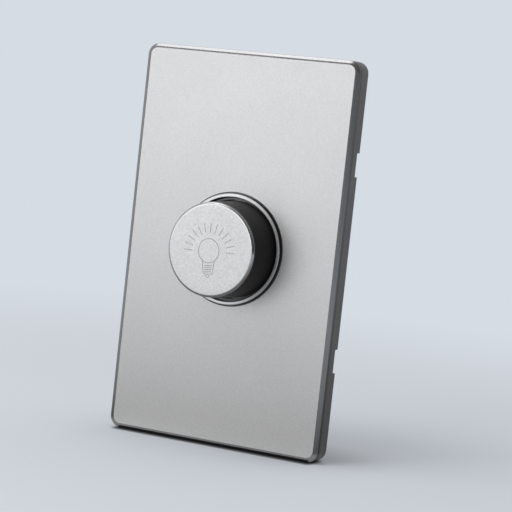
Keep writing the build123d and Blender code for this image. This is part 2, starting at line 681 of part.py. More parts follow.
with BuildPart() as control_wafer:
    with BuildSketch(at_height(WAFER_BACK)):
        Circle(CAN_BORE - WAFER_FIT)
        Rectangle(TONGUE_WIDTH, TONGUE_END, align=(Align.CENTER, Align.MAX))
        Circle(WAFER_HOLE_RADIUS, mode=Mode.SUBTRACT)
        with Locations((0, LUG_Z)):
            with GridLocations(LUG_PITCH, 0, LUG_COUNT, 1):
                Rectangle(LUG_WIDTH + 2 * SMALL_FIT, LUG_THICKNESS + 2 * SMALL_FIT, mode=Mode.SUBTRACT)
    extrude(amount=WAFER_THICKNESS)
export(control_wafer, "control_wafer")

with BuildPart() as control_lugs:
    with BuildSketch(at_height(LEAD_END)):
        with Locations((0, LUG_Z)):
            with GridLocations(LUG_PITCH, 0, LUG_COUNT, 1):
                Rectangle(LUG_WIDTH, LUG_THICKNESS)
    extrude(amount=WAFER_FRONT - LEAD_END)
export(control_lugs, "control_lugs")

# Switch deck: moulded mains switch behind the can, with its two lugs
with BuildPart() as switch_deck:
    with BuildSketch(at_height(DECK_BACK)):
        RectangleRounded(DECK_WIDTH, DECK_WIDTH, DECK_CORNER)
    extrude(amount=DECK_DEPTH)
    chamfer(switch_deck.faces().sort_by(Axis.Y)[-1].edges(), DECK_CHAMFER)
export(switch_deck, "switch_deck")

with BuildPart() as switch_lugs:
    with BuildSketch(at_height(LEAD_END)):
        with GridLocations(DECK_LUG_PITCH, 0, 2, 1):
            Rectangle(LUG_WIDTH, LUG_THICKNESS)
    extrude(amount=DECK_BACK - LEAD_END)
export(switch_lugs, "switch_lugs")

# Mounting strap: folded steel with box screw slots, hook windows and a flange along each side
with BuildPart() as mounting_strap:
    window_width = HOOK_THICKNESS + HOOK_FIT + HOOK_FLEX
    window_x = HOOK_X + HOOK_THICKNESS + HOOK_FIT - window_width / 2
    with BuildSketch(at_height(0)):
        Rectangle(STRAP_WIDTH, STRAP_BODY)
        RectangleRounded(EAR_WIDTH, STRAP_LENGTH, EAR_CORNER)
        with GridLocations(0, SCREW_SPACING, 1, 2):
            SlotOverall(SLOT_LENGTH, SLOT_WIDTH, rotation=90, mode=Mode.SUBTRACT)
        with GridLocations(2 * window_x, 2 * HOOK_Z, 2, 2):
            Rectangle(window_width, HOOK_WIDTH + 2 * HOOK_FIT, mode=Mode.SUBTRACT)
        with GridLocations(2 * BOSS_X, 2 * BOSS_Z, 2, 2):
            Circle(SCREW_RADIUS + SCREW_CLEARANCE, mode=Mode.SUBTRACT)
        Circle(BUSH_RADIUS + SMALL_FIT, mode=Mode.SUBTRACT)
        with Locations((pin_x, 0)):
            Rectangle(PIN_THICKNESS + 2 * SMALL_FIT, PIN_WIDTH + 2 * SMALL_FIT, mode=Mode.SUBTRACT)
        with Locations((TRIAC_X, RIVET_Z)):
            Circle(RIVET_RADIUS + RIVET_FIT, mode=Mode.SUBTRACT)
    extrude(amount=STRAP_THICKNESS)
    flange_length = STRAP_BODY - 2 * STRAP_FLANGE_SETBACK
    with BuildSketch(at_height(STRAP_THICKNESS)):
        with GridLocations(STRAP_WIDTH - STRAP_THICKNESS, 0, 2, 1):
            Rectangle(STRAP_THICKNESS, flange_length)
    extrude(amount=STRAP_FLANGE)
    flange_inside = STRAP_WIDTH / 2 - STRAP_THICKNESS
    inner_bends = [
        edge
        for edge in mounting_strap.edges().filter_by(Axis.Z)
        if isclose(abs(edge.center().X), flange_inside, abs_tol=TOLERANCE)
        and isclose(edge.center().Y, -STRAP_THICKNESS, abs_tol=TOLERANCE)
    ]
    fillet(inner_bends, STRAP_BEND)
export(mounting_strap, "mounting_strap")

# Rear housing: moulded box with screw bosses, board posts, vents and wire pockets
with BuildPart() as rear_housing:
    with BuildSketch(at_height(0)):
        RectangleRounded(HOUSING_WIDTH, HOUSING_HEIGHT, HOUSING_CORNER)
    extrude(amount=-HOUSING_DEPTH)
    fillet(rear_housing.faces().sort_by(Axis.Y)[-1].edges(), HOUSING_EDGE)
    with BuildSketch(at_height(FLOOR)):
        RectangleRounded(2 * INNER_HALF_WIDTH, 2 * INNER_HALF_HEIGHT, HOUSING_CORNER - HOUSING_WALL)
    extrude(amount=-FLOOR, mode=Mode.SUBTRACT)
    with BuildSketch(at_height(FLOOR)):
        with GridLocations(2 * BOSS_X, 2 * BOSS_Z, 2, 2):
            Circle(BOSS_RADIUS)
    extrude(amount=-FLOOR)
    with BuildSketch(at_height(FLOOR)):
        with GridLocations(2 * POST_X, 2 * POST_Z, 2, 2):
            Circle(POST_RADIUS)
    extrude(amount=BOARD_LIFT)
    with BuildSketch(at_height(BOARD_BACK)):
        with GridLocations(2 * POST_X, 2 * POST_Z, 2, 2):
            Circle(POST_PIN_RADIUS)
    extrude(amount=BOARD_THICKNESS + POST_PIN_PROUD)
    with BuildSketch(at_height(0)):
        with GridLocations(2 * BOSS_X, 2 * BOSS_Z, 2, 2):
            Circle(SCREW_RADIUS + SCREW_BITE_GAP)
    extrude(amount=-(SCREW_LENGTH + SCREW_CLEARANCE), mode=Mode.SUBTRACT)
    pocket_shell = POCKET_DEPTH + HOUSING_WALL
    shell_x = HOUSING_WIDTH / 2 - HOUSING_WALL / 2 - pocket_shell / 2
    with BuildSketch(at_height(-(POCKET_START - HOUSING_WALL))):
        with Locations((shell_x, 0)):
            with GridLocations(0, 2 * TERMINAL_Z, 1, 2):
                Rectangle(pocket_shell - HOUSING_WALL, POCKET_WIDTH + 2 * HOUSING_WALL)
    extrude(amount=-(POCKET_HEIGHT + 2 * HOUSING_WALL))
    with BuildSketch(at_height(-POCKET_START)):
        with Locations((POCKET_FLOOR + POCKET_DEPTH, 0)):
            with GridLocations(0, 2 * TERMINAL_Z, 1, 2):
                Rectangle(2 * POCKET_DEPTH, POCKET_WIDTH)
    extrude(amount=-POCKET_HEIGHT, mode=Mode.SUBTRACT)
    with BuildSketch(at_height(-(POCKET_START + POCKET_HEIGHT))):
        with Locations((TAIL_X, 0)):
            with GridLocations(0, 2 * TERMINAL_Z, 1, 2):
                Rectangle(TAIL_THICKNESS + 2 * SMALL_FIT, TAIL_WIDTH + 2 * SMALL_FIT)
    extrude(amount=-HOUSING_WALL, mode=Mode.SUBTRACT)
    with BuildSketch(from_side(POCKET_FLOOR)):
        with Locations((-POCKET_MIDDLE, 0)):
            with GridLocations(0, 2 * TERMINAL_Z, 1, 2):
                Circle(WIRE_SCREW_RADIUS + SCREW_CLEARANCE)
    extrude(amount=-HOUSING_WALL, mode=Mode.SUBTRACT)
    with BuildSketch(TURNED):
        with Locations((0, -(VENT_START + VENT_LENGTH / 2))):
            with GridLocations(VENT_PITCH, 0, VENT_COUNT, 1):
                Rectangle(VENT_WIDTH, VENT_LENGTH)
    extrude(amount=HOUSING_HEIGHT, both=True, mode=Mode.SUBTRACT)
export(rear_housing, "rear_housing")

# Screws that hold the housing to the strap
with BuildPart() as housing_screws:
    with BuildSketch(at_height(STRAP_THICKNESS)):
        with GridLocations(2 * BOSS_X, 2 * BOSS_Z, 2, 2):
            Circle(SCREW_HEAD_RADIUS)
    extrude(amount=SCREW_HEAD)
    chamfer(housing_screws.faces().group_by(Axis.Y)[0].edges(), SCREW_HEAD_EDGE)
    with BuildSketch(at_height(STRAP_THICKNESS)):
        with GridLocations(2 * BOSS_X, 2 * BOSS_Z, 2, 2):
            Circle(SCREW_RADIUS)
    extrude(amount=-(SCREW_LENGTH + STRAP_THICKNESS))
export(housing_screws, "housing_screws")

# Wire terminals: brass plates with soldered tails, and their binding screws
with BuildPart() as wire_plates:
    plate_start = -(POCKET_START + TERMINAL_FIT)
    plate_end = -(POCKET_START + POCKET_HEIGHT - TERMINAL_FIT)
    with BuildSketch(at_height(plate_start)):
        with Locations((POCKET_FLOOR + TERMINAL_THICKNESS / 2, 0)):
            with GridLocations(0, 2 * TERMINAL_Z, 1, 2):
                Rectangle(TERMINAL_THICKNESS, POCKET_WIDTH - 2 * TERMINAL_FIT)
    extrude(amount=plate_end - plate_start)
    with BuildSketch(at_height(plate_end)):
        with Locations((TAIL_X, 0)):
            with GridLocations(0, 2 * TERMINAL_Z, 1, 2):
                Rectangle(TAIL_THICKNESS, TAIL_WIDTH)
    extrude(amount=LEAD_END - plate_end)
    with BuildSketch(from_side(POCKET_FLOOR)):
        with Locations((-POCKET_MIDDLE, 0)):
            with GridLocations(0, 2 * TERMINAL_Z, 1, 2):
                Circle(WIRE_SCREW_RADIUS + SCREW_BITE_GAP)
    extrude(amount=TERMINAL_THICKNESS, mode=Mode.SUBTRACT)
export(wire_plates, "wire_plates")

with BuildPart() as wire_screws:
    head_x = POCKET_FLOOR + TERMINAL_THICKNESS + WIRE_SCREW_LIFT
    shank_x = POCKET_FLOOR - HOUSING_WALL - WIRE_SCREW_TIP
    with BuildSketch(from_side(head_x)):
        with Locations((-POCKET_MIDDLE, 0)):
            with GridLocations(0, 2 * TERMINAL_Z, 1, 2):
                Circle(WIRE_SCREW_HEAD_RADIUS)
    extrude(amount=WIRE_SCREW_HEAD)
    with BuildSketch(from_side(head_x + WIRE_SCREW_HEAD)):
        with Locations((-POCKET_MIDDLE, 0)):
            with GridLocations(0, 2 * TERMINAL_Z, 1, 2):
                Rectangle(2 * WIRE_SCREW_HEAD_RADIUS, DRIVER_SLOT_WIDTH)
    extrude(amount=-DRIVER_SLOT_DEPTH, mode=Mode.SUBTRACT)
    with BuildSketch(from_side(shank_x)):
        with Locations((-POCKET_MIDDLE, 0)):
            with GridLocations(0, 2 * TERMINAL_Z, 1, 2):
                Circle(WIRE_SCREW_RADIUS)
    extrude(amount=head_x - shank_x)
export(wire_screws, "wire_screws")

# Circuit board: notched round the bosses and drilled for posts and leads
with BuildPart() as circuit_board:
    with BuildSketch(at_height(BOARD_BACK)):
        Rectangle(2 * (INNER_HALF_WIDTH - BOARD_GAP), 2 * (INNER_HALF_HEIGHT - BOARD_GAP))
        with GridLocations(2 * BOSS_X, 2 * BOSS_Z, 2, 2):
            Circle(BOSS_RADIUS + BOARD_GAP, mode=Mode.SUBTRACT)
        with GridLocations(2 * POST_X, 2 * POST_Z, 2, 2):
            Circle(POST_PIN_RADIUS + SMALL_FIT, mode=Mode.SUBTRACT)
        with Locations((TAIL_X, 0)):
            with GridLocations(0, 2 * TERMINAL_Z, 1, 2):
                Rectangle(
                    TAIL_THICKNESS + 2 * LEAD_HOLE_GAP, TAIL_WIDTH + 2 * LEAD_HOLE_GAP, mode=Mode.SUBTRACT
                )
        lug_hole = (LUG_WIDTH + 2 * LEAD_HOLE_GAP, LUG_THICKNESS + 2 * LEAD_HOLE_GAP)
        with GridLocations(DECK_LUG_PITCH, 0, 2, 1):
            Rectangle(*lug_hole, mode=Mode.SUBTRACT)
        with Locations((0, LUG_Z)):
            with GridLocations(LUG_PITCH, 0, LUG_COUNT, 1):
                Rectangle(*lug_hole, mode=Mode.SUBTRACT)
        with Locations((TRIAC_X, TRIAC_LEAD_Z)):
            with GridLocations(TRIAC_LEAD_PITCH, 0, 3, 1):
                Rectangle(
                    TRIAC_LEAD_WIDTH + 2 * LEAD_HOLE_GAP,
                    TRIAC_LEAD_THICKNESS + 2 * LEAD_HOLE_GAP,
                    mode=Mode.SUBTRACT,
                )
        lead_hole = LEAD_RADIUS + LEAD_HOLE_GAP
        with Locations((CHOKE_X, CHOKE_MIDDLE)):
            with GridLocations(0, CHOKE_WINDING - 2 * CHOKE_WIRE_RADIUS, 1, 2):
                Circle(CHOKE_WIRE_RADIUS + LEAD_HOLE_GAP, mode=Mode.SUBTRACT)
        with Locations((FILTER_CAP_X, FILTER_CAP_Z)):
            with GridLocations(FILTER_CAP_LEAD_PITCH, 0, 2, 1):
                Circle(lead_hole, mode=Mode.SUBTRACT)
        with Locations((TIMING_CAP_X, TIMING_CAP_Z)):
            with GridLocations(TIMING_CAP_LEAD_PITCH, 0, 2, 1):
                Circle(lead_hole, mode=Mode.SUBTRACT)
        with Locations((DIAC_X, AXIAL_Z)):
            with GridLocations(0, 2 * DIAC_LEAD, 1, 2):
                Circle(lead_hole, mode=Mode.SUBTRACT)
        for count in range(RESISTOR_COUNT):
            with Locations((RESISTOR_X - count * RESISTOR_PITCH, AXIAL_Z)):
                with GridLocations(0, 2 * RESISTOR_LEAD, 1, 2):
                    Circle(lead_hole, mode=Mode.SUBTRACT)
    extrude(amount=BOARD_THICKNESS)
export(circuit_board, "circuit_board")

# Power switch chip on its heat plate: plate, insulating pad, chip and rivet
with BuildPart() as heat_plate:
    with BuildSketch(at_height(HEAT_PLATE_BACK)):
        with Locations((0, HEAT_PLATE_TOP)):
            Rectangle(HEAT_PLATE_WIDTH, HEAT_PLATE_HEIGHT, align=(Align.CENTER, Align.MAX))
        with Locations((TRIAC_X, RIVET_Z)):
            Circle(RIVET_RADIUS + RIVET_FIT, mode=Mode.SUBTRACT)
    extrude(amount=HEAT_PLATE_THICKNESS)
export(heat_plate, "heat_plate")

with BuildPart() as chip_pad:
    pad_height = TRIAC_TAB_HEIGHT + TRIAC_BODY_HEIGHT
    with BuildSketch(at_height(TRIAC_FRONT)):
        with Locations((TRIAC_X, TRIAC_TOP)):
            Rectangle(
                TRIAC_WIDTH + 2 * PAD_MARGIN, pad_height + PAD_MARGIN, align=(Align.CENTER, Align.MAX)
            )
        with Locations((TRIAC_X, RIVET_Z)):
            Circle(RIVET_RADIUS + RIVET_FIT, mode=Mode.SUBTRACT)
    extrude(amount=PAD_THICKNESS)
export(chip_pad, "chip_pad")

with BuildPart() as power_chip:
    with BuildSketch(at_height(TRIAC_FRONT)):
        with Locations((TRIAC_X, TRIAC_TOP)):
            Rectangle(
                TRIAC_WIDTH, TRIAC_TAB_HEIGHT + TRIAC_BODY_HEIGHT / 2, align=(Align.CENTER, Align.MAX)
            )
        with Locations((TRIAC_X, RIVET_Z)):
            Circle(RIVET_RADIUS + RIVET_FIT, mode=Mode.SUBTRACT)
    extrude(amount=-TRIAC_TAB_THICKNESS)
    with BuildSketch(at_height(TRIAC_FRONT)):
        with Locations((TRIAC_X, TRIAC_BODY_TOP)):
            Rectangle(TRIAC_WIDTH, TRIAC_BODY_HEIGHT, align=(Align.CENTER, Align.MAX))
    extrude(amount=-TRIAC_BODY_DEPTH)
    lead_front = TRIAC_FRONT - TRIAC_LEAD_DEPTH
    lead_run = TRIAC_LEAD_OUT + TRIAC_LEAD_THICKNESS / 2
    for count in (-1, 0, 1):
        lead_x = TRIAC_X + count * TRIAC_LEAD_PITCH
        with BuildSketch(at_height(lead_front)):
            with Locations((lead_x, TRIAC_BODY_END)):
                Rectangle(TRIAC_LEAD_WIDTH, lead_run, align=(Align.CENTER, Align.MAX))
        extrude(amount=-TRIAC_LEAD_THICKNESS)
        with BuildSketch(at_height(lead_front)):
            with Locations((lead_x, TRIAC_LEAD_Z)):
                Rectangle(TRIAC_LEAD_WIDTH, TRIAC_LEAD_THICKNESS)
        extrude(amount=LEAD_END - lead_front)
export(power_chip, "power_chip")

with BuildPart() as chip_rivet:
    rivet_back = TRIAC_FRONT - TRIAC_TAB_THICKNESS
    with BuildSketch(at_height(rivet_back)):
        with Locations((TRIAC_X, RIVET_Z)):
            Circle(RIVET_RADIUS)
    extrude(amount=STRAP_THICKNESS - rivet_back)
    with BuildSketch(at_height(STRAP_THICKNESS)):
        with Locations((TRIAC_X, RIVET_Z)):
            Circle(RIVET_HEAD_RADIUS)
    extrude(amount=RIVET_HEAD)
    with BuildSketch(at_height(rivet_back)):
        with Locations((TRIAC_X, RIVET_Z)):
            Circle(RIVET_HEAD_RADIUS)
    extrude(amount=-RIVET_HEAD)
export(chip_rivet, "chip_rivet")

# Choke: ferrite drum on its side with a ridged winding, one ridge a turn, between the flanges
choke_section = Plane(origin=(CHOKE_X, -CHOKE_AXIS, CHOKE_MIDDLE), x_dir=(1, 0, 0), z_dir=(0, -1, 0))
choke_axis = Axis((CHOKE_X, -CHOKE_AXIS, CHOKE_MIDDLE), (0, 0, 1))
with BuildPart() as choke_core:
    half = CHOKE_LENGTH / 2
    with BuildSketch(choke_section):
        with BuildLine():
            Polyline(
                (0, -half),
                (CHOKE_FLANGE_RADIUS, -half),
                (CHOKE_FLANGE_RADIUS, -half + CHOKE_FLANGE),
                (CHOKE_NECK_RADIUS, -half + CHOKE_FLANGE),
                (CHOKE_NECK_RADIUS, half - CHOKE_FLANGE),
                (CHOKE_FLANGE_RADIUS, half - CHOKE_FLANGE),
                (CHOKE_FLANGE_RADIUS, half),
                (0, half),
                close=True,
            )
        make_face()
    revolve(axis=choke_axis)
export(choke_core, "choke_core")

with BuildPart() as choke_winding:
    winding_bore = CHOKE_NECK_RADIUS + SMALL_FIT
    winding_root = CHOKE_WINDING_RADIUS - CHOKE_WIRE_RADIUS
    winding_end = CHOKE_WINDING / 2
    ridges = [(winding_root, -winding_end)]
    for turn in range(CHOKE_TURNS):
        crest_z = (2 * turn + 1) * CHOKE_WIRE_RADIUS - winding_end
        ridges.append((CHOKE_WINDING_RADIUS, crest_z))
        ridges.append((winding_root, crest_z + CHOKE_WIRE_RADIUS))
    with BuildSketch(choke_section):
        with BuildLine():
            Polyline((winding_bore, -winding_end), *ridges, (winding_bore, winding_end), close=True)
        make_face()
    revolve(axis=choke_axis)
    with BuildSketch(at_height(LEAD_END)):
        with Locations((CHOKE_X, CHOKE_MIDDLE)):
            with GridLocations(0, CHOKE_WINDING - 2 * CHOKE_WIRE_RADIUS, 1, 2):
                Circle(CHOKE_WIRE_RADIUS)
    extrude(amount=CHOKE_AXIS - winding_root - LEAD_END)
export(choke_winding, "choke_winding")


def box_capacitor(size, x, z, lead_pitch):
    """Moulded box capacitor that stands on the board with two wire leads.

    Args:
        size: width along X, height along Z and depth away from the board.
        x, z: place of the middle on the board.
        lead_pitch: distance between the leads.
    Returns:
        The finished builder.
    """
    width, height, depth = size
    with BuildPart() as capacitor:
        with BuildSketch(at_height(BOARD_FRONT)):
            with Locations((x, z)):
                RectangleRounded(width, height, CAP_CORNER)
        extrude(amount=depth)
        chamfer(capacitor.faces().sort_by(Axis.Y)[0].edges(), CAP_CORNER / 2)
        with BuildSketch(at_height(LEAD_END)):
            with Locations((x, z)):
                with GridLocations(lead_pitch, 0, 2, 1):
                    Circle(LEAD_RADIUS)
        extrude(amount=BOARD_FRONT - LEAD_END)
    return capacitor


filter_capacitor = box_capacitor(FILTER_CAP_SIZE, FILTER_CAP_X, FILTER_CAP_Z, FILTER_CAP_LEAD_PITCH)
export(filter_capacitor, "filter_capacitor")

timing_capacitor = box_capacitor(TIMING_CAP_SIZE, TIMING_CAP_X, TIMING_CAP_Z, TIMING_CAP_LEAD_PITCH)
export(timing_capacitor, "timing_capacitor")


def axial_parts(profile, places, height, reach):
    """Turned parts that lie along Z above the board, each on a wire bent into the board at both ends.

    Args:
        profile: half section of the body as radius and place along Z.
        places: X of each part.
        height: height of the body's axis.
        reach: distance from the middle to where the wire bends.
    Returns:
        The finished builder.
    """
    with BuildPart() as axial:
        for x in places:
            section = Plane(origin=(x, -height, AXIAL_Z), x_dir=(1, 0, 0), z_dir=(0, -1, 0))
            with BuildSketch(section):
                with BuildLine():
                    Polyline(*profile, close=True)
                make_face()
            revolve(axis=Axis(section.origin, (0, 0, 1)))
            with BuildLine(from_side(x)) as wire:
                FilletPolyline(
                    (-LEAD_END, AXIAL_Z - reach),
                    (-height, AXIAL_Z - reach),
                    (-height, AXIAL_Z + reach),
                    (-LEAD_END, AXIAL_Z + reach),
                    radius=LEAD_BEND,
                )
            with BuildSketch(Plane(origin=wire.line @ 0, z_dir=wire.line % 0)):
                Circle(LEAD_RADIUS)
            sweep(path=wire.line)
    return axial


# Resistors with swollen ends, and the small trigger diode beside them
resistor_half = RESISTOR_LENGTH / 2
resistor_profile = (
    (0, -resistor_half),
    (RESISTOR_WAIST_RADIUS, -resistor_half),
    (RESISTOR_RADIUS, -resistor_half + RESISTOR_CAP / 2),
    (RESISTOR_RADIUS, -resistor_half + RESISTOR_CAP),
    (RESISTOR_WAIST_RADIUS, -resistor_half + 1.5 * RESISTOR_CAP),
    (RESISTOR_WAIST_RADIUS, resistor_half - 1.5 * RESISTOR_CAP),
    (RESISTOR_RADIUS, resistor_half - RESISTOR_CAP),
    (RESISTOR_RADIUS, resistor_half - RESISTOR_CAP / 2),
    (RESISTOR_WAIST_RADIUS, resistor_half),
    (0, resistor_half),
)
resistor_places = [RESISTOR_X - count * RESISTOR_PITCH for count in range(RESISTOR_COUNT)]
resistors = axial_parts(resistor_profile, resistor_places, RESISTOR_AXIS, RESISTOR_LEAD)
export(resistors, "resistors")

diac_half = DIAC_LENGTH / 2
diac_profile = ((0, -diac_half), (DIAC_RADIUS, -diac_half), (DIAC_RADIUS, diac_half), (0, diac_half))
trigger_diode = axial_parts(diac_profile, [DIAC_X], DIAC_AXIS, DIAC_LEAD)
export(trigger_diode, "trigger_diode")
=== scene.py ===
"""Dimmer switch: fine meshes, finishes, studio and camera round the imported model."""

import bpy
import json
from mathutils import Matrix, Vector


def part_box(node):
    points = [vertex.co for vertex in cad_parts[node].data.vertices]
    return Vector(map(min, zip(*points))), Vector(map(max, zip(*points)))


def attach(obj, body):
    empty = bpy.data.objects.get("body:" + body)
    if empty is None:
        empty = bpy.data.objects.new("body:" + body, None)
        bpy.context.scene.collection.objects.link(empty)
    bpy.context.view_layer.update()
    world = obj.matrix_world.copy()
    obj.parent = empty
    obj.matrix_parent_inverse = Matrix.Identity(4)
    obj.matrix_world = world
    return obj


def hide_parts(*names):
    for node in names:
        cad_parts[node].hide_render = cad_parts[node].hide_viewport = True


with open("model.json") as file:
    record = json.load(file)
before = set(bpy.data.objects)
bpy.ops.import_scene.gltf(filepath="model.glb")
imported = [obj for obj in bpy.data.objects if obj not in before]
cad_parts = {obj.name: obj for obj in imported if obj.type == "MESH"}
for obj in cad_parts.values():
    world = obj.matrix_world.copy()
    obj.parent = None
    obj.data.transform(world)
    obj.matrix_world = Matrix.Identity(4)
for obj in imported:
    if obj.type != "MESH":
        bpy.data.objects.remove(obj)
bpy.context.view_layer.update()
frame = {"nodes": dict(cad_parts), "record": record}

import json
import logging
import math
from collections.abc import Callable, Sequence
from dataclasses import dataclass, field
from enum import Enum
from typing import Any

import bmesh
import bpy
from bpy.types import ID, Material, Mesh, MeshPolygon, Node, NodeSocket, NodeTree, Object
from mathutils import Matrix, Vector

MM = 0.001
WELD = 0.001 * MM
FLAT = math.radians(0.4)
CREASE = math.radians(13.0)
SMOOTH = math.radians(30.0)
WIDE_SMOOTH = math.radians(40.0)
ROUNDING_STEPS = 2
HANDLING_SCALE = 60.0
COAT_ROUGHNESS = 0.2
SHEEN_ROUGHNESS = 0.4
LOG = logging.getLogger("dimmer_switch")

Point = tuple[float, float]
Span = tuple[float, float]
Triple = tuple[float, float, float]
RGB = Triple
BLACK: RGB = (0.0, 0.0, 0.0)


class Body(Enum):
    """The two bodies that pieces ride on."""

    BASE = "base"
    KNOB = "knob"


class Effect(Enum):
    """Shader effects that finishes share: fine textures, and the traces of handling."""

    GRAIN = "fine_grain"
    TURNED = "turning_marks"
    ROLLED = "rolled_lines"
    MOULDED = "moulded_skin"
    HANDLING = "handling"


class Drive(Enum):
    """Recess in a screw's head."""

    CROSS = "cross"
    SLOT = "slot"


class NodeSheet:
    """Places and links the nodes of one tree."""

    def __init__(self, tree: NodeTree) -> None:
        """Starts with an empty tree."""
        self.tree = tree
        tree.nodes.clear()

    def add(self, kind: str, inputs: dict[Any, Any] | None = None, **settings: Any) -> Node:
        """Adds a node and fills its inputs.

        Args:
            kind: type name of the node.
            inputs: sockets to link or values to set, by the input's name or number.
            settings: attributes of the node itself.
        Returns:
            The new node.
        """
        node = self.tree.nodes.new(kind)
        for name, value in settings.items():
            setattr(node, name, value)
        for key, value in (inputs or {}).items():
            if isinstance(value, NodeSocket):
                self.tree.links.new(value, node.inputs[key])
            else:
                node.inputs[key].default_value = value
        return node

    def result(self, kind: str, inputs: dict[Any, Any] | None = None, **settings: Any) -> NodeSocket:
        """Adds a node and returns its first output."""
        return self.add(kind, inputs, **settings).outputs[0]

    def math(self, operation: str, *terms: Any) -> NodeSocket:
        """Adds a Math node on sockets or numbers and returns its output."""
        return self.result("ShaderNodeMath", dict(enumerate(terms)), operation=operation)

    def vector(self, operation: str, *terms: Any, output: str = "Vector") -> NodeSocket:
        """Adds a Vector Math node on sockets or triples and returns one output."""
        return self.add("ShaderNodeVectorMath", dict(enumerate(terms)), operation=operation).outputs[output]

    def spread(self, value: NodeSocket, span: Span, low: float = 0.0, high: float = 1.0,
               smooth: bool = False) -> NodeSocket:
        """Maps a span of values to low..high.

        Args:
            value: socket with the value.
            span: values that give low and high.
            low: result at the span's start.
            high: result at its end.
            smooth: eases both ends.
        Returns:
            The result's socket.
        """
        kind = "SMOOTHSTEP" if smooth else "LINEAR"
        inputs = {"Value": value, "From Min": span[0], "From Max": span[1], "To Min": low, "To Max": high}
        return self.result("ShaderNodeMapRange", inputs, interpolation_type=kind)

    def blend(self, factor: Any, first: Any, second: Any) -> NodeSocket:
        """Mixes two colours by a factor and returns the colour's socket."""
        inputs = {0: factor, 6: self._opaque(first), 7: self._opaque(second)}  # 6 and 7 take colours
        return self.add("ShaderNodeMix", inputs, data_type="RGBA").outputs[2]

    @staticmethod
    def _opaque(colour: Any) -> Any:
        """Gives a plain colour its alpha and leaves a socket as it is."""
        return colour if isinstance(colour, NodeSocket) else (*colour, 1.0)


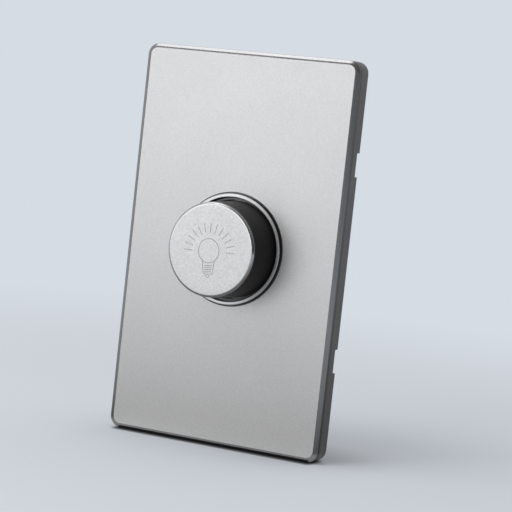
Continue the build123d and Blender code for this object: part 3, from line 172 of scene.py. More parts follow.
class EffectGroup:
    """A shader node group that several finishes share."""

    FINE_DETAIL = 3.0
    SOFT_DETAIL = 2.0
    PLAIN_DETAIL = 1.0
    NOISE_ROUGHNESS = 0.55
    COARSE_SHARE = 0.22
    GRAIN_SHARES = (0.93, 0.07)
    FLOW_SHARE = 0.5
    DRAW_OUT = 0.02
    SHADE_RANGE = (0.3, 0.7)
    GLOSS_RANGE = (0.25, 0.75)
    MARK_RANGE = (0.70, 0.78)
    MARK_TURNS = (0.6, -0.9)
    MARK_SCALE = (6.0, 1.0, 120.0)

    def __init__(self, effect: Effect) -> None:
        """Builds the group of an effect, with a place and a scale as inputs.

        Args:
            effect: the effect; handling gives Gloss and Marks, a texture gives Shade and Height.
        """
        outputs = ("Gloss", "Marks") if effect is Effect.HANDLING else ("Shade", "Height")
        self.tree = bpy.data.node_groups.new(effect.value, "ShaderNodeTree")
        for label, side, kind in (("Vector", "INPUT", "Vector"), ("Scale", "INPUT", "Float"),
                                  *((output, "OUTPUT", "Float") for output in outputs)):
            self.tree.interface.new_socket(label, in_out=side, socket_type="NodeSocket" + kind)
        self.sheet = NodeSheet(self.tree)
        entry = self.sheet.add("NodeGroupInput").outputs
        self.place, self.scale = entry["Vector"], entry["Scale"]
        fills = {Effect.GRAIN: self._grain, Effect.TURNED: self._turned, Effect.ROLLED: self._rolled,
                 Effect.MOULDED: self._moulded, Effect.HANDLING: self._handling}
        fills[effect]()

    @classmethod
    def shared(cls, effect: Effect) -> NodeTree:
        """Gives the tree of an effect's group, built at its first use."""
        return bpy.data.node_groups.get(effect.value) or cls(effect).tree

    def _noise(self, place: Any, scale: Any, detail: float) -> NodeSocket:
        """Adds a noise at a place and returns its value."""
        inputs = {"Vector": place, "Scale": scale, "Detail": detail, "Roughness": self.NOISE_ROUGHNESS}
        return self.sheet.result("ShaderNodeTexNoise", inputs)

    def _coarse(self, detail: float) -> NodeSocket:
        """Adds a noise with wider features than the group's scale gives."""
        return self._noise(self.place, self.sheet.math("MULTIPLY", self.scale, self.COARSE_SHARE), detail)

    def _close(self, shade: NodeSocket, height: NodeSocket) -> None:
        """Ends a texture's group, with its shade stretched over the whole range."""
        results = {"Shade": self.sheet.spread(shade, self.SHADE_RANGE), "Height": height}
        self.sheet.add("NodeGroupOutput", results)

    def _grain(self) -> None:
        """Fills the group of a blasted surface: fine peaks in soft clusters."""
        fine = self._noise(self.place, self.scale, self.FINE_DETAIL)
        parts = [self.sheet.math("MULTIPLY", noise, share)
                 for noise, share in zip((fine, self._coarse(self.PLAIN_DETAIL)), self.GRAIN_SHARES)]
        self._close(self.sheet.math("ADD", *parts), fine)

    def _turned(self) -> None:
        """Fills the group of a turned surface: rings round the Y axis."""
        sheet = self.sheet
        flat = sheet.vector("MULTIPLY", self.place, (1.0, 0.0, 1.0))
        radius = sheet.vector("LENGTH", flat, output="Value")
        depth = sheet.vector("DOT_PRODUCT", self.place, (0.0, 1.0, 0.0), output="Value")
        inputs = {"W": sheet.math("ADD", radius, depth), "Scale": self.scale, "Detail": self.SOFT_DETAIL}
        rings = sheet.result("ShaderNodeTexNoise", inputs, noise_dimensions="1D")
        self._close(rings, rings)

    def _rolled(self) -> None:
        """Fills the group of rolled or drawn metal: fine lines along Z."""
        drawn = self.sheet.vector("MULTIPLY", self.place, (1.0, 1.0, self.DRAW_OUT))
        lines = self._noise(drawn, self.scale, self.FINE_DETAIL)
        self._close(lines, lines)

    def _moulded(self) -> None:
        """Fills the group of moulded plastic: the fine pits of an eroded mould."""
        inputs = {"Vector": self.place, "Scale": self.scale}
        cells = self.sheet.add("ShaderNodeTexVoronoi", inputs, feature="SMOOTH_F1").outputs["Distance"]
        flow = self._coarse(self.SOFT_DETAIL)
        height = self.sheet.math("ADD", cells, self.sheet.math("MULTIPLY", flow, self.FLOW_SHARE))
        self._close(flow, height)

    def _handling(self) -> None:
        """Fills the group of handling: soft patches of gloss and sparse hairlines."""
        sheet = self.sheet
        gloss = sheet.spread(self._noise(self.place, self.scale, self.FINE_DETAIL), self.GLOSS_RANGE)
        lines = []
        for turn in self.MARK_TURNS:
            inputs = {"Vector": self.place, "Rotation": (0.0, turn, 0.0), "Scale": self.MARK_SCALE}
            drawn = sheet.result("ShaderNodeMapping", inputs)
            noise = self._noise(drawn, self.scale, self.PLAIN_DETAIL)
            lines.append(sheet.spread(noise, self.MARK_RANGE))
        sheet.add("NodeGroupOutput", {"Gloss": gloss, "Marks": sheet.math("MAXIMUM", *lines)})


@dataclass(frozen=True)
class Finish:
    """A finish: its colours, its gloss and the fine texture that carries both.

    Scales are in features per metre, relief is in millimetres.
    """

    name: str
    dark: RGB
    light: RGB
    roughness: float
    metallic: float = 0.0
    texture: Effect = Effect.MOULDED
    scale: float = 5000.0
    relief: float = 0.004
    uneven: float = 0.04
    coat: float = 0.0
    hairlines: float = 0.0
    specular: float = 0.5
    sheen: float = 0.0

    def material(self) -> Material:
        """Gives the finish's material, built at its first use."""
        return bpy.data.materials.get(self.name) or self._build()

    def _build(self) -> Material:
        """Builds the node tree of the finish.

        Returns:
            The new material.
        """
        made = bpy.data.materials.new(self.name)
        made.use_nodes = True
        sheet = NodeSheet(made.node_tree)
        place = sheet.add("ShaderNodeTexCoord").outputs["Object"]
        effects = []
        for effect, scale in ((self.texture, self.scale), (Effect.HANDLING, HANDLING_SCALE)):
            inputs = {"Vector": place, "Scale": scale}
            effects.append(sheet.add("ShaderNodeGroup", inputs, node_tree=EffectGroup.shared(effect)).outputs)
        texture, handling = effects
        colour = sheet.blend(texture["Shade"], self.dark, self.light)
        gloss = sheet.spread(handling["Gloss"], (0.0, 1.0), self.roughness - self.uneven,
                             self.roughness + self.uneven)
        if self.hairlines:
            gloss = sheet.math("ADD", gloss, sheet.math("MULTIPLY", handling["Marks"], self.hairlines))
        relief = {"Height": texture["Height"], "Strength": 1.0, "Distance": self.relief * MM}
        shader = sheet.result("ShaderNodeBsdfPrincipled", {
            "Base Color": colour, "Roughness": gloss, "Metallic": self.metallic,
            "Normal": sheet.result("ShaderNodeBump", relief), "Specular IOR Level": self.specular,
            "Coat Weight": self.coat, "Coat Roughness": COAT_ROUGHNESS,
            "Sheen Weight": self.sheen, "Sheen Roughness": SHEEN_ROUGHNESS})
        sheet.add("ShaderNodeOutputMaterial", {"Surface": shader})
        return made


PANEL_FACE = Finish(
    "panel_face_satin", (0.54, 0.54, 0.542), (0.67, 0.67, 0.672), 0.44, 0.75,
    Effect.GRAIN, 3600.0, 0.002, uneven=0.012, hairlines=0.12)
PANEL_EDGE = Finish(
    "panel_edge_polished", (0.30, 0.303, 0.307), (0.36, 0.363, 0.367), 0.23, 1.0,
    Effect.ROLLED, 2500.0, 0.0006)
PANEL_SIDE = Finish(
    "panel_side_cut", (0.10, 0.102, 0.105), (0.14, 0.142, 0.146), 0.42, 0.9, Effect.ROLLED, 2500.0, 0.001)
CAP_FACE = Finish(
    "cap_face_blasted", (0.64, 0.64, 0.645), (0.86, 0.86, 0.865), 0.5, 0.7,
    Effect.GRAIN, 3200.0, uneven=0.015)
CAP_EDGE = Finish(
    "cap_edge_polished", (0.44, 0.44, 0.443), (0.50, 0.50, 0.503), 0.15, 1.0, Effect.TURNED, 9000.0, 0.0008)
CAP_GROOVE = Finish(
    "cap_groove_etched", (0.44, 0.44, 0.45), (0.54, 0.54, 0.55), 0.6, 0.6, Effect.GRAIN, 6000.0)
# Darker copies of the ring's metal for its ledge, outer wall and grooves: painted shade.
BEZEL_LEDGE_SHADE = Finish(
    "bezel_ledge_turned", (0.17, 0.17, 0.175), (0.23, 0.23, 0.235), 0.4, 0.9, Effect.TURNED, 7000.0, 0.001)
BEZEL_WALL_SHADE = Finish(
    "bezel_wall_polished", (0.20, 0.201, 0.203), (0.26, 0.261, 0.263), 0.25, 1.0,
    Effect.TURNED, 7000.0, 0.001)
BEZEL_GROOVE_SHADE = Finish(
    "bezel_groove_dark", (0.08, 0.08, 0.081), (0.11, 0.11, 0.111), 0.35, 1.0, Effect.TURNED, 7000.0, 0.001)

FINISHES: dict[str, Finish] = {
    "panel_satin": PANEL_FACE,
    "frame_grey": Finish(
        "frame_moulded_grey", (0.158, 0.161, 0.167), (0.190, 0.193, 0.200), 0.5, scale=3800.0, relief=0.01),
    "bezel_chrome": Finish(
        "bezel_satin_plated", (0.60, 0.60, 0.61), (0.68, 0.68, 0.69), 0.4, 0.85,
        Effect.TURNED, 7000.0, 0.001),
    "knob_black": Finish(
        "knob_satin_black", (0.022, 0.022, 0.0225), (0.030, 0.030, 0.0305), 0.5,
        scale=5200.0, relief=0.005, specular=0.05, sheen=0.2),
    "cap_aluminium": CAP_FACE,
    "strap_steel": Finish(
        "strap_zinc_plated", (0.46, 0.47, 0.49), (0.62, 0.63, 0.65), 0.36, 1.0,
        Effect.ROLLED, 3000.0, 0.002, hairlines=0.15),
    "spring_steel": Finish(
        "spring_bright", (0.42, 0.42, 0.43), (0.56, 0.56, 0.57), 0.3, 1.0, Effect.ROLLED, 5000.0, 0.001),
    "screw_steel": Finish(
        "screw_zinc_plated", (0.52, 0.52, 0.54), (0.66, 0.66, 0.68), 0.32, 1.0, Effect.GRAIN, 4000.0, 0.002),
    "control_metal": Finish(
        "control_drawn_metal", (0.48, 0.49, 0.51), (0.62, 0.63, 0.65), 0.34, 1.0,
        Effect.ROLLED, 3500.0, 0.0015),
    "control_resin": Finish(
        "control_moulded_resin", (0.17, 0.10, 0.055), (0.25, 0.155, 0.085), 0.5, relief=0.006),
    "housing_plastic": Finish(
        "housing_moulded_dark", (0.042, 0.044, 0.047), (0.058, 0.060, 0.064), 0.48,
        scale=3000.0, relief=0.012),
    "terminal_brass": Finish(
        "terminal_bright_brass", (0.60, 0.42, 0.17), (0.76, 0.57, 0.27), 0.28, 1.0,
        Effect.ROLLED, 3500.0, 0.0015, hairlines=0.15),
    "board_laminate": Finish(
        "board_brown_laminate", (0.33, 0.235, 0.115), (0.44, 0.33, 0.17), 0.4, 0.0,
        Effect.GRAIN, 1800.0, coat=0.3),
    "chip_black": Finish(
        "chip_moulded_epoxy", (0.025, 0.025, 0.028), (0.042, 0.042, 0.046), 0.5, relief=0.008),
    "pad_grey": Finish(
        "pad_grey_sheet", (0.38, 0.40, 0.43), (0.46, 0.48, 0.51), 0.7, 0.0, Effect.GRAIN, 2500.0, 0.006),
    "heat_aluminium": Finish(
        "heat_plate_rolled", (0.58, 0.59, 0.60), (0.72, 0.73, 0.74), 0.33, 1.0,
        Effect.ROLLED, 2600.0, 0.002, hairlines=0.15),
    "ferrite": Finish(
        "ferrite_fired", (0.035, 0.035, 0.04), (0.07, 0.07, 0.078), 0.55, 0.0, Effect.GRAIN, 3000.0, 0.01),
    "copper_wire": Finish(
        "wire_enamelled_copper", (0.46, 0.17, 0.07), (0.62, 0.27, 0.12), 0.25, 0.9,
        Effect.TURNED, 4000.0, 0.001, coat=0.5),
    "capacitor_shell": Finish("capacitor_moulded_shell", (0.45, 0.30, 0.045), (0.56, 0.39, 0.07), 0.35),
    "resistor_coat": Finish("resistor_lacquer", (0.50, 0.42, 0.28), (0.60, 0.51, 0.36), 0.32, coat=0.4),
    "diode_glass": Finish(
        "diode_sealed_glass", (0.36, 0.11, 0.05), (0.46, 0.16, 0.08), 0.15, relief=0.001, coat=0.6),
}


def new_piece(name: str, data: ID) -> Object:
    """Puts an object into the scene, at the origin.

    Args:
        name: name of the object.
        data: its mesh, lamp or camera.
    Returns:
        The object.
    """
    piece = bpy.data.objects.new(name, data)
    bpy.context.scene.collection.objects.link(piece)
    return piece


def settle(piece: Object) -> None:
    """Turns what a piece's modifiers make into its own plain mesh.

    Args:
        piece: the piece.
    """
    graph = bpy.context.evaluated_depsgraph_get()
    made = bpy.data.meshes.new_from_object(
        piece.evaluated_get(graph), preserve_all_data_layers=True, depsgraph=graph)
    old = piece.data
    piece.modifiers.clear()
    piece.data = made
    bpy.data.meshes.remove(old)
    made.name = piece.name


def drop(piece: Object) -> None:
    """Removes a helper's mesh, and the helper with it."""
    bpy.data.meshes.remove(piece.data)


def carve(piece: Object, cutter: Object, **settings: Any) -> None:
    """Cuts a helper's solid out of a piece and removes the helper.

    Args:
        piece: the piece.
        cutter: the helper, a closed mesh.
        settings: further attributes of the cut.
    """
    cut = piece.modifiers.new("cut", "BOOLEAN")
    cut.operation = "DIFFERENCE"
    cut.solver = "EXACT"
    cut.object = cutter
    for name, value in settings.items():
        setattr(cut, name, value)
    settle(piece)
    drop(cutter)


def shade(mesh: Mesh, angle: float = SMOOTH) -> None:
    """Shades a mesh smooth, with edges sharper than an angle kept crisp."""
    mesh.polygons.foreach_set("use_smooth", [True] * len(mesh.polygons))
    mesh.set_sharp_from_angle(angle=angle)


def level_faces(piece: Object) -> None:
    """Keeps large faces evenly lit beside their roundings, and settles the piece."""
    piece.modifiers.new("level_faces", "WEIGHTED_NORMAL").keep_sharp = True
    settle(piece)


def made_mesh(name: str, work: bmesh.types.BMesh) -> Mesh:
    """Turns finished mesh work into a mesh.

    Args:
        name: name of the mesh.
        work: the mesh work, which ends here.
    Returns:
        The mesh.
    """
    mesh = bpy.data.meshes.new(name)
    work.to_mesh(mesh)
    work.free()
    return mesh


def softened(node: str, name: str, width: float) -> Object:
    """Copies a node into a piece whose sharp edges are rounded.

    Args:
        node: name of the node.
        name: name of the new piece.
        width: how far the rounding reaches from an edge.
    Returns:
        The new piece.
    """
    work = bmesh.new()
    work.from_mesh(frame["nodes"][node].data)
    bmesh.ops.remove_doubles(work, verts=work.verts, dist=WELD)
    bmesh.ops.dissolve_limit(work, angle_limit=FLAT, verts=work.verts, edges=work.edges)
    piece = new_piece(name, made_mesh(name, work))
    shade(piece.data, CREASE)
    bevel = piece.modifiers.new("rounding", "BEVEL")
    bevel.width = width
    bevel.segments = ROUNDING_STEPS
    bevel.limit_method = "ANGLE"
    bevel.angle_limit = CREASE
    bevel.use_clamp_overlap = False
    bevel.miter_outer = "MITER_ARC"
    level_faces(piece)
    return piece


def rounded(corners: Sequence[Point], radius: float, steps: int = 4) -> list[Point]:
    """Rounds the inner corners of an open line.

    Args:
        corners: the line's points; the first and last stay as they are.
        radius: radius of each rounding.
        steps: straight parts in each rounding.
    Returns:
        The points of the rounded line.
    """
    line = [Vector(corner) for corner in corners]
    made = [tuple(line[0])]
    for before, corner, after in zip(line, line[1:], line[2:]):
        back = (before - corner).normalized()
        ahead = (after - corner).normalized()
        half = back.angle(ahead) / 2
        reach = radius / math.tan(half)
        middle = corner + (back + ahead).normalized() * (radius / math.sin(half))
        start = corner + back * reach - middle
        sweep = start.angle_signed(corner + ahead * reach - middle)
        for step in range(steps + 1):
            turned_by = Matrix.Rotation(-sweep * step / steps, 2) @ start
            made.append(tuple(middle + turned_by))
    made.append(tuple(line[-1]))
    return made


def ringed(name: str, rings: Sequence[Sequence[Vector]]) -> Mesh:
    """Skins a row of rings into a closed mesh.

    Args:
        name: name of the mesh.
        rings: rings of equally many points, from one end to the other.
    Returns:
        The mesh, with its faces outward and both ends closed.
    """
    work = bmesh.new()
    rows = [[work.verts.new(point) for point in ring] for ring in rings]
    count = len(rows[0])
    for row, following in zip(rows, rows[1:]):
        for index in range(count):
            after = (index + 1) % count
            work.faces.new((row[index], row[after], following[after], following[index]))
    work.faces.new(rows[0])
    work.faces.new(rows[-1])
    bmesh.ops.recalc_face_normals(work, faces=work.faces)
    return made_mesh(name, work)


def ring(radius: Callable[[float], float], level: float, segments: int) -> list[Vector]:
    """Gives a ring round Z at a level, with a radius for each angle."""
    turns = (2 * math.pi * index / segments for index in range(segments))
    return [Vector((radius(turn) * math.cos(turn), radius(turn) * math.sin(turn), level)) for turn in turns]


def turned(profile: Sequence[Point], segments: int) -> list[list[Vector]]:
    """Gives the rings of a round body from the radius and level of each."""
    return [ring(lambda turn, reach=reach: reach, level, segments) for reach, level in profile]


def dress(piece: Object, finishes: Sequence[Finish],
          choose: Callable[[MeshPolygon], int] | None = None) -> None:
    """Gives a piece its finishes.

    Args:
        piece: the piece.
        finishes: one finish for each material slot.
        choose: number of the slot for a face; all faces take the first slot without it.
    """
    piece.data.materials.clear()
    for finish in finishes:
        piece.data.materials.append(finish.material())
    for face in piece.data.polygons:
        face.material_index = choose(face) if choose else 0


def join_body(piece: Object, body: Body, slot: str, *nodes: str) -> None:
    """Rides a piece on its body, in the place of the nodes that it stands for.

    Args:
        piece: the piece.
        body: body that carries it.
        slot: the record's material slot; not used.
        nodes: nodes that the piece replaces.
    """
    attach(piece, body.value)
    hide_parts(*nodes)
    LOG.info("%s: %d faces, rides on %s", piece.name, len(piece.data.polygons), body.value)


class GeometryRecipe:
    """A Geometry Nodes tree with named inputs, ended by Realize Instances and Set Material."""

    SOCKETS = {float: "Float", int: "Int", tuple: "Vector", type(None): "Object"}

    def __init__(self, name: str, inputs: dict[str, float | int | tuple | None]) -> None:
        """Makes the tree with its inputs.

        Args:
            name: name of the tree.
            inputs: default value of each input, by name; None stands for an object to be named later.
        """
        self.tree = bpy.data.node_groups.new(name, "GeometryNodeTree")
        self.names: dict[str, str] = {}
        kinds = {label: self.SOCKETS[type(value)] for label, value in inputs.items()}
        for label, kind in {"Geometry": "Geometry", **kinds, "Material": "Material"}.items():
            socket = self.tree.interface.new_socket(label, in_out="INPUT", socket_type="NodeSocket" + kind)
            self.names[label] = socket.identifier
            if inputs.get(label) is not None:
                socket.default_value = inputs[label]
        self.tree.interface.new_socket("Geometry", in_out="OUTPUT", socket_type="NodeSocketGeometry")
        self.sheet = NodeSheet(self.tree)
        self.entry = self.sheet.add("NodeGroupInput").outputs

    def close(self, geometry: NodeSocket) -> None:
        """Ends the tree with a geometry.

        Args:
            geometry: what the tree makes.
        """
        real = self.sheet.result("GeometryNodeRealizeInstances", {"Geometry": geometry})
        inputs = {"Geometry": real, "Material": self.entry["Material"]}
        self.sheet.add("NodeGroupOutput", {"Geometry": self.sheet.result("GeometryNodeSetMaterial", inputs)})

    def run(self, piece: Object, finish: Finish, **values: Any) -> None:
        """Runs the tree on a piece and keeps the result as its mesh.

        Args:
            piece: piece whose mesh enters the tree.
            finish: finish for all that the tree makes.
            values: inputs by name, with _ for a space.
        """
        modifier = piece.modifiers.new(self.tree.name, "NODES")
        modifier.node_group = self.tree
        modifier[self.names["Material"]] = finish.material()
        for label, value in values.items():
            modifier[self.names[label.replace("_", " ")]] = value
        settle(piece)


def points_piece(name: str, points: Sequence[Vector], edges: Sequence[tuple[int, int]] = ()) -> Object:
    """Makes an object of bare points, with edges where they form lines.

    Args:
        name: name of the object.
        points: its points.
        edges: pairs of numbers of points.
    Returns:
        The object.
    """
    mesh = bpy.data.meshes.new(name)
    mesh.from_pydata([tuple(point) for point in points], list(edges), [])
    return new_piece(name, mesh)


@dataclass
class CoverPlate:
    """The silver panel, the grey frame behind it and the ring round the knob."""

    panel_rounding: float = 0.07 * MM
    frame_rounding: float = 0.12 * MM
    ring_rounding: float = 0.05 * MM
    face_lean: float = 0.9995
    side_lean: float = 0.3
    band_lean: float = 0.35
    band_depth: float = 0.35 * MM
    ledge_reach: float = 15.4 * MM
    ledge_depth: float = 0.56 * MM
    wall_reach: float = 16.3 * MM
    wall_depth: float = 1.5 * MM

    def build(self) -> None:
        """Builds the pieces and dresses them."""
        panel = softened("front_panel", "cover_panel", self.panel_rounding)
        dress(panel, (PANEL_FACE, PANEL_EDGE, PANEL_SIDE), self._panel_slot)
        join_body(panel, Body.BASE, "panel_satin", "front_panel")
        skirt = softened("panel_frame", "cover_frame", self.frame_rounding)
        dress(skirt, (FINISHES["frame_grey"],))
        join_body(skirt, Body.BASE, "frame_grey", "panel_frame")
        bezel = softened("knob_bezel", "bezel_ring", self.ring_rounding)
        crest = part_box("knob_bezel")[0].y
        # The ledge, outer wall and grooves take darker copies of the ring's metal, painted shade.
        dress(bezel, (FINISHES["bezel_chrome"], BEZEL_LEDGE_SHADE, BEZEL_WALL_SHADE, BEZEL_GROOVE_SHADE),
              lambda face: self._bezel_slot(face, face.center.y - crest))
        join_body(bezel, Body.BASE, "bezel_chrome", "knob_bezel")

    def _panel_slot(self, face: MeshPolygon) -> int:
        """Tells the satin face from the polished slopes, and both from the cut sides and back."""
        edge = 1 if -face.normal.y > self.side_lean else 2
        return 0 if -face.normal.y > self.face_lean else edge

    def _bezel_slot(self, face: MeshPolygon, depth: float) -> int:
        """Tells the ring's satin band, ledge, outer wall and grooves apart; the last three take darker copies
        of its metal, painted shade.

        Args:
            face: a face of the ring.
            depth: how far it lies behind the ring's front.
        Returns:
            Number of the face's slot.
        """
        reach = math.hypot(face.center.x, face.center.z)
        if -face.normal.y < self.band_lean:
            return 2 if reach > self.wall_reach and depth < self.wall_depth else 3
        if depth < self.band_depth:
            return 0
        return 1 if reach < self.ledge_reach and depth < self.ledge_depth else 3


@dataclass
class LampIcon:
    """Bulb pictogram cut into the knob's cap, drawn from the centre of its globe."""

    centre: Point = (-0.42 * MM, -0.35 * MM)
    turn: float = math.radians(3.65)
    line_radius: float = 0.085 * MM
    line_sides: int = 8
    globe: Point = (3.35 * MM, 3.55 * MM)
    globe_steps: int = 72
    ray_count: int = 13
    ray_start: float = 5.6 * MM
    ray_length: float = 2.75 * MM
    fan_centre: Point = (-0.25 * MM, -0.6 * MM)
    fan_first: float = math.radians(3.0)
    fan_span: float = math.radians(178.5)
    base_top: float = -2.9 * MM
    base_end: float = -6.75 * MM
    base_top_half: float = 2.0 * MM
    base_end_half: float = 1.42 * MM
    foot_gap: float = 0.6 * MM
    band_count: int = 4
    band_first: float = -4.3 * MM
    band_pitch: float = 0.62 * MM
    band_gap: float = 0.3 * MM
    band_rise: float = 0.16 * MM
    tip_place: float = -7.33 * MM
    tip_radius: float = 0.45 * MM
    tip_steps: int = 16

    def cutter(self, face: float) -> Object:
        """Builds the solid of all grooves.

        Args:
            face: Y of the cap's face.
        Returns:
            An object to cut with.
        """
        points: list[Vector] = []
        edges: list[tuple[int, int]] = []
        for line, closed in self._lines():
            first = len(points)
            points.extend(self._on_face(point, face) for point in line)
            edges.extend((first + index, first + index + 1) for index in range(len(line) - 1))
            if closed:
                edges.append((len(points) - 1, first))
        cutter = points_piece("icon_cutter", points, edges)
        centre = (self.fan_centre[0], face, self.fan_centre[1])
        self._recipe().run(cutter, CAP_GROOVE, Line_Radius=self.line_radius, Ray_Count=self.ray_count,
                           Ray_Start=self.ray_start, Ray_Length=self.ray_length, Centre=centre,
                           First_Angle=self.fan_first, Step_Angle=self.fan_span / (self.ray_count - 1))
        return cutter

    def _on_face(self, point: Point, face: float) -> Vector:
        """Turns a drawn point by the icon's turn and puts it on the cap's face."""
        turned_by = Matrix.Rotation(self.turn, 2) @ Vector(point)
        return Vector((self.centre[0] + turned_by.x, face, self.centre[1] + turned_by.y))

    def _lines(self) -> list[tuple[list[Point], bool]]:
        """Draws the lines of globe, tip and base.

        Returns:
            The points of each line, and whether it is closed.
        """
        lines = [(self._oval(self.globe, 0.0, self.globe_steps), True),
                 (self._oval((self.tip_radius, self.tip_radius), self.tip_place, self.tip_steps), True)]
        for side in (-1, 1):
            corner = (side * self.base_end_half, self.base_end)
            lines.append(([(side * self.base_top_half, self.base_top), corner,
                           (side * self.foot_gap, self.base_end)], False))
        half = self.base_end_half - self.band_gap
        for band in range(self.band_count):
            level = self.band_first - band * self.band_pitch
            lines.append(([(-half, level - self.band_rise / 2), (half, level + self.band_rise / 2)], False))
        return lines

    def _oval(self, half: Point, level: float, steps: int) -> list[Point]:
        """Gives the points of an oval of a half width and height, at a level on the icon's axis."""
        turns = (2 * math.pi * step / steps for step in range(steps))
        return [(half[0] * math.cos(turn), level + half[1] * math.sin(turn)) for turn in turns]

    def _recipe(self) -> GeometryRecipe:
        """Builds the tree that sweeps a round section along the lines and a fan of rays.

        Returns:
            The recipe.
        """
        recipe = GeometryRecipe("engraved_lines", {
            "Line Radius": 0.0, "Ray Count": 0, "Ray Start": 0.0, "Ray Length": 0.0,
            "First Angle": 0.0, "Step Angle": 0.0, "Centre": (0.0, 0.0, 0.0)})
        sheet, entry = recipe.sheet, recipe.entry
        drawn = sheet.result("GeometryNodeMeshToCurve", {"Mesh": entry["Geometry"]})
        reaches = entry["Ray Start"], sheet.math("ADD", entry["Ray Start"], entry["Ray Length"])
        start, end = (sheet.result("ShaderNodeCombineXYZ", {"X": reach}) for reach in reaches)
        ray = sheet.result("GeometryNodeCurvePrimitiveLine", {"Start": start, "End": end})
        places = sheet.result("GeometryNodePoints", {
            "Count": entry["Ray Count"], "Position": entry["Centre"]})
        order = sheet.result("GeometryNodeInputIndex")
        angle = sheet.math("ADD", sheet.math("MULTIPLY", order, entry["Step Angle"]), entry["First Angle"])
        euler = sheet.result("ShaderNodeCombineXYZ", {"Y": sheet.math("MULTIPLY", angle, -1.0)})
        fan = sheet.result("GeometryNodeInstanceOnPoints", {
            "Points": places, "Instance": ray, "Rotation": euler})
        rays = sheet.result("GeometryNodeRealizeInstances", {"Geometry": fan})
        both = sheet.add("GeometryNodeJoinGeometry")
        for part in (rays, drawn):
            recipe.tree.links.new(part, both.inputs[0])
        section = sheet.result("GeometryNodeCurvePrimitiveCircle", {
            "Resolution": self.line_sides, "Radius": entry["Line Radius"]})
        recipe.close(sheet.result("GeometryNodeCurveToMesh", {
            "Curve": both.outputs[0], "Profile Curve": section, "Fill Caps": True}))
        return recipe


@dataclass
class Knob:
    """The turning knob's cap with its engraved icon."""

    radius: float = 14.0 * MM
    edge_round: float = 0.75 * MM
    edge_steps: int = 10
    rim: float = 1.0 * MM
    spigot_radius: float = 12.0 * MM
    rounding: float = 0.07 * MM
    segments: int = 144
    face_lean: float = 0.999
    icon: LampIcon = field(default_factory=LampIcon)

    def build(self) -> None:
        """Builds the cap, dresses it and cuts the icon."""
        low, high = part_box("knob_cap")
        front, back = -low.y, -high.y
        step = front - self.edge_round - self.rim
        middle = (self.radius, (front + step) / 2)
        rear = [(self.spigot_radius - self.rim, back), (self.spigot_radius, back),
                (self.spigot_radius, step), (self.radius, step), middle]
        edge = [middle, (self.radius, front), (self.spigot_radius, front)]
        profile = rounded(rear, self.rounding)[:-1] + rounded(edge, self.edge_round, self.edge_steps)
        mesh = ringed("cap_disc", turned(profile, self.segments))
        mesh.transform(Matrix.Rotation(math.pi / 2, 4, "X"))
        cap = new_piece("cap_disc", mesh)
        dress(cap, (CAP_FACE, CAP_EDGE, FINISHES["knob_black"]),
              lambda face: self._cap_slot(face, face.center.y > -middle[1]))
        carve(cap, self.icon.cutter(low.y), use_self=True, material_mode="TRANSFER")
        shade(cap.data)
        join_body(cap, Body.KNOB, "cap_aluminium", "knob_cap")

    def _cap_slot(self, face: MeshPolygon, behind: bool) -> int:
        """Tells the blasted face, the polished edge and the black rim behind it apart."""
        ahead = 0 if -face.normal.y > self.face_lean else 1
        return 2 if behind else ahead


@dataclass
class Screw:
    """A screw along Z with its head's seat at the origin, as a template to place."""

    head_radius: float
    head_height: float
    shank_radius: float
    shank_length: float
    drive: Drive
    head_rounding: float = 0.45 * MM
    crown_share: float = 0.6
    thread_pitch: float = 0.9 * MM
    thread_depth: float = 0.22 * MM
    tip: float = 0.8 * MM
    segments: int = 32
    rows_per_turn: int = 6
    recess_width: float = 0.9 * MM
    recess_depth: float = 1.0 * MM
    slot_share: float = 2.4
    cross_share: float = 1.15
    cross_taper: Triple = (0.45, 0.7, 1.0)

    def template(self) -> Object:
        """Builds the screw with its thread and recess.

        Returns:
            A helper object that is removed after use.
        """
        crown = (self.crown_share * self.head_radius, self.head_height)
        head = rounded([crown, (self.head_radius, self.head_height), (self.head_radius, 0.0),
                        (self.shank_radius, 0.0)], self.head_rounding / 2)
        rings = turned(head, self.segments)
        step = self.thread_pitch / self.rows_per_turn
        for row in range(1, int(self.shank_length / step)):
            depth = row * step
            rings.append(ring(lambda turn, depth=depth: self._thread(turn, depth), -depth, self.segments))
        rings += turned([(self.shank_radius - self.tip, -self.shank_length)], self.segments)
        screw = new_piece("screw_template", ringed("screw_template", rings))
        carve(screw, self._recess(), use_self=True)
        shade(screw.data, WIDE_SMOOTH)
        return screw

    def _thread(self, turn: float, depth: float) -> float:
        """Gives the thread's radius at one place.

        Args:
            turn: angle round the screw.
            depth: how far the place lies below the head.
        Returns:
            The radius.
        """
        phase = (depth / self.thread_pitch - turn / (2 * math.pi)) % 1.0
        crest = 1.0 - abs(2.0 * phase - 1.0)
        run_out = min(1.0, depth / self.thread_pitch, (self.shank_length - depth) / self.tip)
        return self.shank_radius - self.thread_depth * (1.0 - crest * run_out)

    def _recess(self) -> Object:
        """Builds the solid that cuts the driver's recess.

        Returns:
            An object to cut with.
        """
        slot = self.drive is Drive.SLOT
        reach = self.head_radius * (self.slot_share if slot else self.cross_share)
        work = bmesh.new()
        for turn in (0.0,) if slot else (0.0, math.pi / 2):
            made = bmesh.ops.create_cube(work, size=1.0)["verts"]
            bmesh.ops.scale(work, vec=(reach, self.recess_width, 2 * self.recess_depth), verts=made)
            if not slot:
                low = [vert for vert in made if vert.co.z < 0]
                bmesh.ops.scale(work, vec=self.cross_taper, verts=low)
            bmesh.ops.rotate(work, matrix=Matrix.Rotation(turn, 3, "Z"), verts=made)
            bmesh.ops.translate(work, vec=(0.0, 0.0, self.head_height), verts=made)
        return new_piece("recess_cutter", made_mesh("recess_cutter", work))


